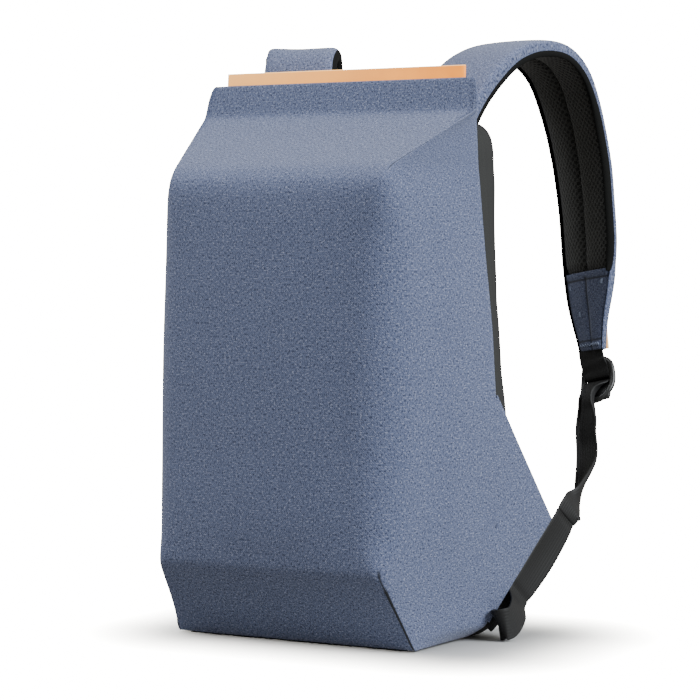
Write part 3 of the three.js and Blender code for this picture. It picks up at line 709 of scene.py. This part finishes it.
def back_outline(inset, count):
    """Points round the back, from the left foot over the round top corners to the right foot."""
    s = sizes()
    shoulder = s.back_top - s.back_corner
    half = [Vector((seam_x(z) - inset, z)) for z in levels_between([0.0, shoulder], 0.006)]
    top = half[-1]
    corner = Vector((top.x, s.back_top - inset))
    end = Vector((top.x - s.back_corner, s.back_top - inset))
    first, last = top.lerp(corner, 0.85), end.lerp(corner, 0.75)
    for k in range(1, 11):
        t = k / 10
        bend = first * 3 * t * (1 - t) ** 2 + last * 3 * t * t * (1 - t)
        half.append(top * (1 - t) ** 3 + bend + end * t**3)
    line = [Vector((-p.x, p.y)) for p in half] + half[::-1]
    return resample(line, count)


def resample(line, count):
    """The same line with evenly spaced points."""
    runs = run_lengths(line)
    points = []
    for k in range(count + 1):
        run = runs[-1] * k / count
        i = min(max(bisect(runs, run) - 1, 0), len(line) - 2)
        gap = runs[i + 1] - runs[i]
        points.append(line[i].lerp(line[i + 1], (run - runs[i]) / gap if gap else 0.0))
    return points


# How far the gusset's rear edge stands out past its front edge, in millimetres, over the height.
GUSSET_LEAN = ((0.0, 0.0), (0.15, -1.0), (0.184, -2.7), (0.208, -4.5), (0.256, -4.5), (0.28, -2.7),
               (0.322, 0.0), (0.352, 2.7), (0.376, 3.5), (0.402, 4.5))
gusset_lean = smooth_table(GUSSET_LEAN)


def build_gusset():
    """The band of nylon round the back, sewn to the pouch and to the back panel, darker along its joins
    with painted shade and along its middle.
    """
    s = sizes()
    line = back_outline(2.6 * MM, 260)
    floor = resample([line[-1], line[0]], 60)
    ring = line + floor[1:]
    # Across the gusset: share of its depth, how far it stands out (mm), and its dark lines: painted shade
    # along its joins, and a dark line along its middle.
    rows = (
        (0.0, 0.0, 0.9), (0.08, 0.4, 0.6), (0.14, 0.5, 0), (0.3, 0.7, 0), (0.48, 0.5, 0), (0.5, 0.2, 0.7),
        (0.53, 0.2, 0.7), (0.55, 0.4, 0.2), (0.78, 0.4, 0.3), (0.82, 0.0, 0.8), (0.86, 0.5, 0.8),
        (0.94, 0.8, 0.8), (1.0, 0.4, 0.8),
    )

    def place(i, j):
        share, proud, _ = rows[j]
        point = ring[i % len(ring)]
        away = (point - Vector((0.0, s.height / 2))).normalized()
        side = math.copysign(min(1.0, abs(point.x) / (0.7 * s.seam_half)) ** 3, point.x)
        lean = side * gusset_lean(point.y)[1] * share
        spot = point + away * proud * MM + Vector((lean * MM, 0.0))
        return Vector((spot.x, s.seam_y + GAP + share * s.gusset, max(spot.y, 0.4 * MM)))

    def uv(i, j):
        return i * 5.0, rows[j][0] * s.gusset / MM

    bm = cloth_grid(len(ring) - 1, len(rows) - 1, place, uv, lambda i, j: float(rows[j][2]))
    bmesh.ops.remove_doubles(bm, verts=bm.verts, dist=1e-5)
    piece("gusset", bm, "nylon", ("back_gusset",), solid=2.5 * MM, offset=-1.0)


def back_plane():
    """The rear of the gusset, where the back panel starts."""
    s = sizes()
    return s.seam_y + s.gusset + 2 * GAP


def build_back_panel():
    """Spacer mesh over foam, with an upright vent channel and two crossing ones sewn down."""
    s = sizes()
    front = back_plane()
    foot, round_foot = 1.0 * MM, 16 * MM
    rows, columns = 92, 60
    top = s.back_top - 9 * MM

    def half_width(z):
        wide = seam_x(min(z, s.back_top - s.back_corner)) - (13 - 4 * smoothstep(z, 0.22, 0.29)) * MM
        over = z - (top - s.back_corner)
        if over > 0:
            wide -= s.back_corner * (1 - math.sqrt(max(0.0, 1 - (over / s.back_corner) ** 2)))
        under = round_foot - z
        if under > 0:
            wide -= round_foot * (1 - math.sqrt(max(0.0, 1 - (under / round_foot) ** 2)))
        return wide

    def place(i, j):
        across = math.sin(math.pi / 2 * (2 * i / columns - 1))
        z = foot + (top - foot) * (0.5 - 0.5 * math.cos(math.pi * j / rows))
        x = across * half_width(z)
        rim = min(half_width(z) - abs(x), z, top - z)
        full = s.pad * min(1.0, max(rim, 0.0) / (9 * MM)) ** 0.45
        ends = min(1.0, max(0.0, min(z - 0.05, 0.33 - z)) / 0.02)
        full -= 5 * MM * math.exp(-((x / (12 * MM)) ** 4)) * ends
        for level in (0.13, 0.245):
            channel = math.exp(-(((z - level - abs(x) * 0.12) / (3.5 * MM)) ** 2))
            full -= 3.2 * MM * channel * min(1.0, rim / 0.02)
        return Vector((x, front + max(full, 0.0), z))

    def uv(i, j):
        spot = place(i, j)
        return spot.x / MM, spot.z / MM

    bm = cloth_grid(columns, rows, place, uv)
    rims = [edge for edge in bm.edges if edge.is_boundary]
    bmesh.ops.contextual_create(bm, geom=rims)
    bmesh.ops.triangulate(bm, faces=[f for f in bm.faces if len(f.verts) > 4])
    piece("back_pad", bm, "mesh", ("back_panel",))


def build_rear_collar():
    """The cloth behind the mouth: a wall with two round corners, open towards the leather."""
    s = sizes()
    half, foot, high, corner = 0.1035, 0.385, 0.428, 8 * MM
    rear, fore = s.seam_y + s.gusset - 1.5 * MM, s.seam_y + 3.6 * MM
    plan = [Vector((-half, fore)), Vector((-half, rear - corner))]
    plan += [
        Vector((-half + corner * (1 - math.cos(a)), rear - corner * (1 - math.sin(a))))
        for a in (0.4, 0.8, 1.2, math.pi / 2)
    ]
    columns, rows = 80, 12
    line = resample(plan + [Vector((-p.x, p.y)) for p in reversed(plan)], columns)

    def place(i, j):
        z = foot + (high - foot) * j / rows
        lean = 0.6 * MM * math.sin(math.pi * j / rows)
        return Vector((line[i].x, line[i].y - lean, z))

    bm = cloth_grid(columns, rows, place, lambda i, j: (i * 3.4, j * 3.6))
    piece("rear_collar", bm, "cloth", ("rear_collar",), solid=2.4 * MM)


def build_leather_lip():
    """The edge of the mouth: a bare strip of leather, a little wavy and cut a little slanted."""
    low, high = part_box("leather_lip")
    steps, rows = 60, 10
    # Depth of the pale top rim: the raw edge's colour, with a painted highlight along it.
    rim = 0.8 * MM

    def place(i, j):
        part = j / (rows - 1)
        z = high[2] if j == rows else low[2] + (high[2] - rim - low[2]) * part
        x = low[0] - 2.3 * MM + (high[0] - low[0]) * i / steps + 1.5 * MM * part * (1 - i / steps)
        bow = 0.7 * MM * math.sin(x * 21) + 0.3 * MM * math.sin(x * 70)
        return Vector((x, (low[1] + high[1]) / 2 + bow * min(part, 1.0), z))

    # The top row takes the pale edge colour: the raw cut edge, and a painted highlight along the rim.
    bm = cloth_grid(steps, rows, place, lambda i, j: (i * 3.6, j * 2.7), lambda i, j: float(j == rows))
    piece("leather_lip", bm, "leather", ("leather_lip",), solid=2.2 * MM, smooth=0)


# Strap routes


def catmull_rom(points):
    """A centripetal curve through the points, as a function of the step along them."""

    def at(step):
        i = min(int(step), len(points) - 2)
        t = step - i
        b, c = points[i], points[i + 1]
        a = points[i - 1] if i else b * 2 - c
        d = points[i + 2] if i + 2 < len(points) else c * 2 - b
        gaps = [max((q - p).length ** 0.5, 1e-3) for p, q in ((a, b), (b, c), (c, d))]
        first = ((b - a) / gaps[0] - (c - a) / (gaps[0] + gaps[1]) + (c - b) / gaps[1]) * gaps[1]
        last = ((c - b) / gaps[1] - (d - b) / (gaps[1] + gaps[2]) + (d - c) / gaps[2]) * gaps[1]
        cubic = (b * 2 - c * 2 + first + last) * t**3
        return b + first * t + (c * 3 - b * 3 - first * 2 - last) * t * t + cubic

    return at


class Route:
    """A line through space with a width and a bearing, measured along its length."""

    def __init__(self, points, columns, side, gentle=0):
        curve = catmull_rom(points)
        fine = 40
        count = (len(points) - 1) * fine
        self.side = side
        self.places = [curve(k / fine) for k in range(count + 1)]
        self.runs = run_lengths(self.places)
        self.length = self.runs[-1]
        rows = []
        for k in range(count + 1):
            i = min(k // fine, len(columns) - 2)
            share = k / fine - i
            rows.append([p + (q - p) * share for p, q in zip(columns[i], columns[i + 1])])
        for _ in range(gentle):
            threes = zip(rows, rows[1:], rows[2:])
            rows = [rows[0], *[[sum(values) / 3 for values in zip(*three)] for three in threes], rows[-1]]
        self.rows = rows

    def at(self, run):
        """Place, direction, width direction, outward direction and width at a length."""
        run = min(max(run, 0.0), self.length)
        i = min(max(bisect(self.runs, run) - 1, 0), len(self.places) - 2)
        share = (run - self.runs[i]) / max(self.runs[i + 1] - self.runs[i], 1e-9)
        place = self.places[i].lerp(self.places[i + 1], share)
        low, high = max(i - 3, 0), min(i + 4, len(self.places) - 1)
        along = (self.places[high] - self.places[low]).normalized()
        turn, dip, wide = (p + (q - p) * share for p, q in zip(self.rows[i], self.rows[i + 1]))
        turn, dip = math.radians(turn), math.radians(dip)
        across = Vector((math.cos(dip) * math.cos(turn), math.cos(dip) * math.sin(turn), -math.sin(dip)))
        across = (across - along * across.dot(along)).normalized()
        return place, along, across, across.cross(along), wide

    def point(self, run, a, b):
        """A point at a length, a across the width and b outwards."""
        place, _, across, out, _ = self.at(run)
        return on_side(place + across * a + out * b, self.side)

    def wide(self, run):
        return self.at(run)[4]


def band_line():
    """The band along the right wing's lower edge: its start, its direction, away and outwards."""
    s = sizes()
    edge = (Vector((seam_x(WING_FOOT), s.seam_y, WING_FOOT)) - WING_TIP).normalized()
    top = Vector((seam_x(WING_TOP), s.seam_y, WING_TOP)) - WING_TIP
    away = -(top - edge * top.dot(edge)).normalized()
    face = edge.cross(away)
    start = WING_TIP + away * (s.webbing / 2 - 0.5 * MM) - face * MM - edge * 12 * MM
    return start, edge, away, face


def bearing(direction):
    """Turn about the upright and fall below the level, in degrees."""
    return math.degrees(math.atan2(direction.y, direction.x)), -math.degrees(math.asin(direction.z))


def strap_route(rows, side):
    """The middle line of a strap and its webbing, from the back panel's top to its band."""
    s = sizes()
    rest = back_plane() + s.pad + GAP + s.strap_thick / 2
    points = [
        Vector((out * s.spread, rest + back * s.reach, up * s.height)) for out, back, up, *_ in rows
    ]
    start, edge, away, _ = band_line()
    points += [start - edge * 8 * MM, start + edge * 1.2 * MM]
    last = (*bearing(-away), s.webbing / s.strap)
    columns = [(turn, dip, wide) for _, _, _, wide, turn, dip in rows] + [last, last]
    return Route(points, columns, side, gentle=30)


def loop_route(side):
    """The middle line of the loop below a band."""
    s = sizes()
    start, edge, away, _ = band_line()
    corner = Vector((seam_x(WING_FOOT), s.seam_y, 0.0))
    points = [start + edge * (s.band + past * MM) for past in (-1.5, 2.7)]
    points += [corner + Vector((out, back, up)) * s.webbing for out, back, up, *_ in LOOP]
    first = (*bearing(-away), 1.0)
    columns = [first, first] + [(turn, dip, 1.0) for _, _, _, turn, dip in LOOP]
    return Route(points, columns, side, gentle=10)


SIDES = (("right", 1, RIGHT_ROUTE), ("left", -1, LEFT_ROUTE))
TAPER = 6 / 7  # where the mesh ends and the cloth-covered end begins


def strap_half(route, run, side):
    """Half the strap's width; the outer side is fuller above the stitched end, then trimmed."""
    s = sizes()
    outer = 0.0
    if side > 0:
        outer = 1.8 * MM * smoothstep(run, 0.25, 0.3) * (1 - smoothstep(run, 0.35, 0.375))
        outer -= 5.5 * MM * smoothstep(run, 0.38, 0.43)
    return route.wide(run) * s.strap / 2 + outer


def build_strap_cover(name, side, rows):
    """The outer cloth, down to the pad on both sides, and the dark tape that binds each edge."""
    s = sizes()
    route = strap_route(rows, side)
    count = 110
    # Across: share of the half width, height as a share of the half thickness.
    cloth = (
        (-1.0, 0.15), (-0.995, 0.45), (-0.97, 0.72), (-0.9, 0.9), (-0.75, 1.0), (-0.5, 1.07),
        (-0.2, 1.11), (0.2, 1.11), (0.5, 1.07), (0.75, 1.0), (0.88, 0.92), (0.95, 0.76), (0.985, 0.5),
        (1.0, 0.3), (1.0, -0.15),
    )
    inner = (
        (-0.975, 0.62), (-1.02, 0.35), (-1.035, 0.0), (-1.025, -0.4), (-0.985, -0.75), (-0.93, -1.0),
        (-0.88, -1.08),
    )
    outer = ((1.0, 0.08), (1.015, -0.2), (1.012, -0.5), (0.995, -0.8), (0.965, -0.98), (0.935, -1.06))
    for label, finish, section, parts, length in (
        ("cover", "cloth", cloth, (f"strap_cover_{name}",), s.strap_length),
        ("inner_tape", "tape", inner, (), s.strap_length),
        ("outer_tape", "tape", outer, (), s.strap_length * TAPER),
    ):
        def place(i, j, section=section, length=length):
            run = length * j / count
            a, b = section[i]
            if a >= 0.99:
                b -= 0.5 * (1 - smoothstep(run, 0.18, 0.26)) + 0.5 * smoothstep(run, 0.37, 0.385)
            half = strap_half(route, run, a)
            lean = 1 - 0.35 * smoothstep(run, s.strap_length * TAPER, s.strap_length)
            thick = s.strap_thick / 2 * (0.55 + 0.45 * smoothstep(run, 0, 0.02)) * lean
            return route.point(run, a * half, b * thick)

        girth = [0.0]
        for (a, b), (c, d) in zip(section, section[1:]):
            girth.append(girth[-1] + math.hypot((c - a) * s.strap, (d - b) * s.strap_thick) / 2 / MM)
        bm = cloth_grid(len(section) - 1, count, place, lambda i, j: (girth[i], length * j / count / MM))
        piece(f"strap_{label}_{name}", bm, finish, parts, solid=1.1 * MM)


def build_strap_pad(name, side, rows):
    """The pad: spacer mesh over foam, puffed in two lobes beside a sewn middle seam."""
    s = sizes()
    route = strap_route(rows, side)
    count = 110
    end = s.strap_length * TAPER
    # Half the section, from the middle seam round the edge to the middle of the hidden side: share of
    # the half width, share of the thickness below (negative) or above the middle line.
    half_ring = (
        (0.0, -0.3), (0.03, -0.44), (0.07, -0.68), (0.13, -0.88), (0.22, -1.0), (0.35, -1.06),
        (0.5, -1.05), (0.65, -1.0), (0.8, -0.88), (0.9, -0.7), (0.97, -0.42), (1.0, -0.05), (0.97, 0.5),
        (0.85, 0.9), (0.5, 1.0), (0.0, 1.0),
    )
    ring = [*half_ring, *[(-a, b) for a, b in reversed(half_ring[:-1])]]

    def place(i, j):
        run = end * j / count
        a, b = ring[i]
        half = strap_half(route, run, a) - 2.2 * MM
        close = smoothstep(j, 0, 3) * smoothstep(count - j, 0, 3)
        thick = (7.0 if b < 0 else 3.6) * MM * (0.35 + 0.65 * close)
        ripple = 1 + 0.04 * math.sin(run * 190 + 2 * a) * (1 - abs(a))
        return route.point(run, a * half * (0.94 + 0.06 * close), b * thick * ripple)

    # The middle seam's points are marked for a painted shade line in the valley between the lobes.
    bm = cloth_grid(
        len(ring) - 1, count, place,
        lambda i, j: (ring[i][0] * s.strap / 2 / MM, end * j / count / MM),
        lambda i, j: float(i in (0, len(ring) - 1)), close=True,
    )
    close_ends(bm)
    piece(f"strap_pad_{name}", bm, "mesh", (f"strap_pad_{name}",))


def build_strap_end(name, side, rows):
    """The cloth-covered taper below the mesh, with its hems, its middle crease and its stitches."""
    s = sizes()
    route = strap_route(rows, side)
    count, across = 40, 24
    start = s.strap_length * TAPER - 3 * MM
    end = s.strap_length - 0.4 * MM

    def low(run, a):
        part = (run - start) / (end - start)
        half = strap_half(route, run, a) - 1.2 * MM
        crease = math.exp(-((a * half / (1.5 * MM)) ** 2)) * smoothstep(part, 0.03, 0.12)
        hem = math.exp(-(((part - 0.04) / 0.03) ** 2)) + math.exp(-(((part - 0.93) / 0.035) ** 2))
        wrinkle = 0.5 * MM * math.sin(9 * part + 3.5 * a) * math.sin(math.pi * part) * (1 - a * a)
        puff = (2.4 + 2.8 * (1 - a * a) ** 0.5) * (1 - 0.35 * part)
        return a * half, -(puff * MM - 1.4 * MM * crease + 0.9 * MM * hem + wrinkle)

    def place(i, j):
        run = start + (end - start) * j / count
        return route.point(run, *low(run, 2 * i / across - 1))

    # Painted shade lines along the middle crease and along the two hems.
    def seam(i, j):
        return 0.9 if i == across // 2 and j > 2 or j in (4, 35) else 0.0

    bm = cloth_grid(across, count, place, lambda i, j: (i * 2.4, j * 1.7), seam)
    # The taper's canvas is darker, 0.7 of its brightness: painted shade.
    piece(f"strap_end_{name}", bm, "cloth_in_painted_shade", (f"strap_end_{name}",), solid=1.4 * MM)

    def sewn(part, a):
        run = start + (end - start) * part
        x, y = low(run, a)
        return route.point(run, x, y - 0.8 * MM)

    lines = [[sewn(0.93 + 0.018 * (-1) ** k, -0.9 + 0.1 * k) for k in range(19)]]
    for part, a in ((0.13, 0.75), (0.16, -0.8), (0.5, -0.45)):
        lines.append([sewn(part + 0.007 * k, a + 0.05 * (-1) ** k) for k in range(9)])
    piece(f"strap_end_stitches_{name}", thread_run(lines), "thread", smooth=0)


def ribbon(route, start, end, step=4 * MM, curl=None):
    """A strip of webbing along a route, its long edges turned towards the bag by the curl's angle."""
    s = sizes()
    rows = max(3, round((end - start) / step))
    section = (-0.5, -0.46, -0.38, -0.3, -0.15, 0.0, 0.12, 0.24, 0.34, 0.46, 0.5)

    def place(i, j):
        run = start + (end - start) * j / rows
        a, b = section[i] * s.webbing, 0.0
        low, high, turn = curl(run) if curl else (-1.0, 1.0, 0.0)
        over = a - min(max(a, low), high)
        if over:
            b = -abs(over) * math.sin(turn)
            a = a - over + over * math.cos(turn)
        return route.point(run, a, b)

    def uv(i, j):
        return section[i] * s.webbing / MM, (start + (end - start) * j / rows) / MM

    return cloth_grid(len(section) - 1, rows, place, uv)


def lock_span(route):
    """The ladder lock's top and bottom: it is straight, while its route bends."""
    s = sizes()
    start = s.strap_length + 7.6 * MM
    end = start + s.lock
    while (route.at(end)[0] - route.at(start)[0]).length < s.lock:
        end += 0.3 * MM
    return start, end


def lock_axes(route):
    """The ladder lock's middle and its directions: across, outwards and along, on the right side."""
    start, end = lock_span(route)
    top, bottom = route.at(start), route.at(end)
    along = (bottom[0] - top[0]).normalized()
    out = top[3] + bottom[3]
    out = (out - along * out.dot(along)).normalized()
    return (top[0] + bottom[0]) / 2, along.cross(out), out, along


def lock_spot(axes, a, b, c):
    """A place on the lock: across, outwards and along from its middle, in millimetres."""
    middle, across, out, along = axes
    return middle + (across * a + out * b + along * c) * MM


def build_webbing(name, side, rows):
    """The webbing through the lock, the band along the wing, its tail and the loop below it."""
    s = sizes()
    route = strap_route(rows, side)
    _, end = lock_span(route)
    axes = lock_axes(route)
    # Places on the lock: over its top bar and round its middle bar.
    over = ((-3.0, -1.8, -20.0), (-2.0, -0.4, -15.5), (0.0, 2.0, -10.5), (0.6, 3.3, -6.2), (0.6, 4.3, -3.9),
            (0.6, 6.0, -3.3), (0.6, 7.9, -4.2), (0.6, 8.7, -6.5), (0.6, 8.2, -12.0))
    top = [route.at(s.strap_length + past * MM) for past in (-4, 2)]
    points = [spot - across * 3.5 * MM - out * 1.5 * MM for spot, _, across, out, _ in top]
    points += [lock_spot(axes, *place) for place in over]
    columns = [(*bearing(axes[1]), 1.0)] * len(points)
    stub = Route(points, columns, side)
    # Out through the lower slot and over the bottom bar, then along the strap's route.
    under = ((1.0, 6.2, -2.0), (0.5, 4.0, 3.0), (0.0, 1.0, 10.0), (0.0, -1.7, 18.0))
    runs = [end + (7 + 8 * k) * MM for k in range(40)]
    runs = [run for run in runs if run < route.length] + [route.length]
    shift = [2.8 * MM * smoothstep(run, 0.52, 0.56) * (1 - smoothstep(run, 0.6, 0.63)) for run in runs]
    points = [lock_spot(axes, *place) for place in under]
    points += [route.at(run)[0] + Vector((more, 0.0, 0.0)) for run, more in zip(runs, shift)]
    columns = [(*bearing(axes[1]), 1.0)] * len(under) + [(*bearing(route.at(run)[2]), 1.0) for run in runs]
    lower = Route(points, columns, side)

    def curl(run):
        turn = math.radians(84) * smoothstep(run, 0.0, 0.02)
        turn *= 1 - smoothstep(run, 0.09, lower.length - 0.005)
        return -8.5 * MM, (5.0 + 4.0 * smoothstep(run, 0.025, 0.045)) * MM, turn

    first, edge, away, face = band_line()
    columns, stations = 8, 26
    folds = (1, stations - 1)

    def on_band(i, j):
        part, share = j / stations, i / columns
        bow = 3.4 * MM * math.sin(math.pi * part) * share**2
        dent = 0.8 * MM * math.sin(math.pi * share) * (1 - 0.5 * math.cos(2 * math.pi * part))
        dent += 1.0 * MM if j in folds else 0.0
        spot = first + edge * s.band * part + away * ((share - 0.5) * s.webbing + bow) - face * dent
        return on_side(spot, side)

    def on_tail(i, j):
        part = j / 12
        wide = i / 4 * (19 - 9 * part) * MM
        spot = first + edge * (s.band + (42 * part - 3) * MM) - away * (s.webbing / 2 - wide)
        spot -= face * 1.8 * MM
        return on_side(Vector((spot.x, spot.y, max(spot.z, 2 * MM))), side)

    loop = loop_route(side)
    # The band's folded ends are marked for painted shade in their creases.
    band_uv, band_seam = lambda i, j: (i * 3.1, j * 3.0), lambda i, j: float(j in folds)
    for label, bm in (
        ("strap_webbing", ribbon(stub, 0.0, stub.length, 1.2 * MM)),
        ("lower_webbing", ribbon(lower, 0.0, lower.length, 3 * MM, curl)),
        ("anchor_band", cloth_grid(columns, stations, on_band, band_uv, band_seam)),
        ("anchor_tail", cloth_grid(4, 12, on_tail, lambda i, j: (i * 3, j * 3.5))),
        ("anchor_loop", ribbon(loop, 0.0, loop.length, 3 * MM)),
    ):
        node = f"{label}_{name}"
        piece(node, bm, "webbing", () if label == "anchor_tail" else (node,), solid=s.webbing_thick)


def build_ladder_lock(name, side, rows):
    """An arched ring and its three bars, moulded together; their places are places on the lock."""
    axes = lock_axes(strap_route(rows, side))
    half = ((0.0, 1.0, -19.6), (7.7, 1.0, -19.4), (13.6, 3.0, -15.6), (15.9, 6.0, -5.0), (15.8, 6.5, 3.6),
            (13.4, 5.0, 11.0), (9.0, 2.5, 17.4), (4.0, 1.0, 19.4))
    ring = [*half, (0.0, 1.0, 19.6), *[(-a, b, c) for a, b, c in reversed(half[1:])]]
    curve = catmull_rom([lock_spot(axes, *spot) for spot in (*ring, ring[0])])
    stations, sides = 96, 14
    steps = len(ring)

    def place(i, j):
        step = steps * (j % stations) / stations
        spot = curve(step)
        ahead = (curve((step + 0.03) % steps) - curve((step - 0.03) % steps)).normalized()
        inner = (axes[0] + axes[2] * 3 * MM - spot).normalized()
        inner = (inner - ahead * inner.dot(ahead)).normalized()
        angle = 2 * math.pi * i / sides
        spot += inner * (1.0 + 2.6 * math.cos(angle)) * MM + ahead.cross(inner) * 2.7 * MM * math.sin(angle)
        return on_side(spot, side)

    bm = cloth_grid(sides, stations, place, lambda i, j: (i, j), close=True)
    turn = Matrix((axes[3], axes[2], axes[1])).transposed().to_4x4()
    for outwards, down, flat in ((6.0, -6.2, 1.0), (7.4, 2.0, 3.0), (4.6, 12.0, 3.4)):
        bar = bmesh.ops.create_cone(
            bm, cap_ends=True, segments=14, radius1=1.7 * MM, radius2=1.7 * MM, depth=30 * MM
        )["verts"]
        seat = Matrix.Translation(lock_spot(axes, 0.0, outwards, down)) @ turn
        seat = Matrix.Diagonal((side, 1, 1, 1)) @ seat @ Matrix.Diagonal((flat, 1, 1, 1))
        bmesh.ops.transform(bm, verts=bar, matrix=seat)
    piece(f"ladder_lock_{name}", bm, "plastic", (f"ladder_lock_{name}",), smooth=0)


def build_leather_tab():
    """A small leather tab, sewn over the end of the right strap."""
    s = sizes()
    route = strap_route(RIGHT_ROUTE, 1)
    start, end = s.strap_length - 19 * MM, s.strap_length - 1 * MM
    wide, aside, cells = 24, 2.6, 8

    def place(i, j):
        run = start + (end - start) * j / cells
        across = ((i / cells - 0.5) * wide - aside) * MM
        return route.point(run, across, s.strap_thick / 2 * 0.9 + 1.0 * MM)

    def seam(i, j):
        return float(i in (0, cells) or j in (0, cells))

    bm = cloth_grid(cells, cells, place, lambda i, j: (i * 3, j * 2.2), seam)
    piece("leather_tab", bm, "leather", ("leather_tab_right",), solid=1.5 * MM, smooth=0)


ROOM_LIGHT = 0.5  # strength of the light from all round
BACKDROP = 20.0  # strength of the backdrop as the camera sees it


def build_camera():
    """The photograph's own viewing place: 129 mm lens, turned 30 degrees and 2.3 degrees down."""
    data = bpy.data.cameras.new("camera")
    data.lens = 129.2
    data.sensor_width = 36.0
    eye = put("camera", data)
    eye.location = (0.99196, -1.67285, 0.30065)
    ahead = Vector((-0.49911, 0.86562, -0.04039))
    eye.rotation_euler = ahead.to_track_quat("-Z", "Y").to_euler()
    bpy.context.scene.camera = eye


def area_light(name, place, aim, power, colour):
    """A square softbox, 1.2 m wide."""
    data = bpy.data.lights.new(name, "AREA")
    data.shape = "SQUARE"
    data.size = 1.2
    data.energy = power
    data.color = colour
    lamp = put(name, data)
    lamp.location = place
    lamp.rotation_euler = (Vector(aim) - Vector(place)).to_track_quat("-Z", "Y").to_euler()


class BACKPACK_OT_pouch(Operator):
    """Build the pouch with its collar, darts and wings"""

    bl_idname = "backpack.pouch"
    bl_label = "Pouch"

    def execute(self, context):
        build_pouch()
        return {"FINISHED"}


class BACKPACK_OT_back(Operator):
    """Build the gusset, the padded back and the rear collar"""

    bl_idname = "backpack.back"
    bl_label = "Back"

    def execute(self, context):
        build_gusset()
        build_back_panel()
        build_rear_collar()
        for spot in bpy.data.objects["bottom_panel"].material_slots:
            spot.material = material("nylon")
        return {"FINISHED"}


class BACKPACK_OT_leather(Operator):
    """Build the leather lip and the leather tab"""

    bl_idname = "backpack.leather"
    bl_label = "Leather"

    def execute(self, context):
        build_leather_lip()
        build_leather_tab()
        return {"FINISHED"}


class BACKPACK_OT_straps(Operator):
    """Build the padded straps"""

    bl_idname = "backpack.straps"
    bl_label = "Straps"

    def execute(self, context):
        for name, side, rows in SIDES:
            build_strap_cover(name, side, rows)
            build_strap_pad(name, side, rows)
            build_strap_end(name, side, rows)
        return {"FINISHED"}


class BACKPACK_OT_webbing(Operator):
    """Build the webbing and the ladder locks"""

    bl_idname = "backpack.webbing"
    bl_label = "Webbing"

    def execute(self, context):
        for name, side, rows in SIDES:
            build_webbing(name, side, rows)
            build_ladder_lock(name, side, rows)
        return {"FINISHED"}


class BACKPACK_OT_stage(Operator):
    """Set the floor, the lights and the camera"""

    bl_idname = "backpack.stage"
    bl_label = "Stage"

    def execute(self, context):
        bm = bmesh.new()
        bmesh.ops.create_grid(bm, x_segments=1, y_segments=1, size=12)
        data = bpy.data.meshes.new("floor")
        bm.to_mesh(data)
        bm.free()
        floor = put("floor", data)
        data.materials.append(paper_floor())
        world = bpy.data.worlds.new("studio")
        world.use_nodes = True
        tree = world.node_tree
        # The backdrop is seen much brighter than it lights, as a white sheet with its own lamps.
        seen = add(tree, "LightPath", {}, "Is Camera Ray")
        power = add(tree, "MapRange", {"Value": seen, "To Min": ROOM_LIGHT, "To Max": BACKDROP})
        fill(tree, tree.nodes["Background"], {"Color": (1.0, 0.985, 0.93, 1.0), "Strength": power})
        context.scene.world = world
        area_light("key", (2.3, 0.2, 1.3), (0, 0, 0.2), 108, (0.93, 0.97, 1.0))
        area_light("top", (-0.6, -0.9, 2.2), (0, 0, 0.3), 65, (0.94, 0.97, 1.0))
        build_camera()
        return {"FINISHED"}


OPERATORS = (
    BACKPACK_OT_stage,
    BACKPACK_OT_pouch,
    BACKPACK_OT_back,
    BACKPACK_OT_leather,
    BACKPACK_OT_straps,
    BACKPACK_OT_webbing,
)


class BACKPACK_PT_panel(Panel):
    """The backpack's sizes, colours and pieces"""

    bl_idname = "BACKPACK_PT_panel"
    bl_label = "Backpack"
    bl_space_type = "VIEW_3D"
    bl_region_type = "UI"
    bl_category = "Backpack"

    def draw(self, context):
        layout = self.layout
        for group in (context.scene.backpack_sizes, context.scene.backpack_colours):
            box = layout.box()
            for name in group.__annotations__:
                box.prop(group, name)
        for operator in OPERATORS:
            layout.operator(operator.bl_idname)


CLASSES = (BackpackSizes, BackpackColours, *OPERATORS, BACKPACK_PT_panel)


def register():
    for item in CLASSES:
        bpy.utils.register_class(item)
    bpy.types.Scene.backpack_sizes = PointerProperty(type=BackpackSizes)
    bpy.types.Scene.backpack_colours = PointerProperty(type=BackpackColours)


def unregister():
    del bpy.types.Scene.backpack_colours
    del bpy.types.Scene.backpack_sizes
    for item in reversed(CLASSES):
        bpy.utils.unregister_class(item)


def main():
    register()
    for operator in OPERATORS:
        group, name = operator.bl_idname.split(".")
        getattr(getattr(bpy.ops, group), name)()


if __name__ == "__main__":
    main()
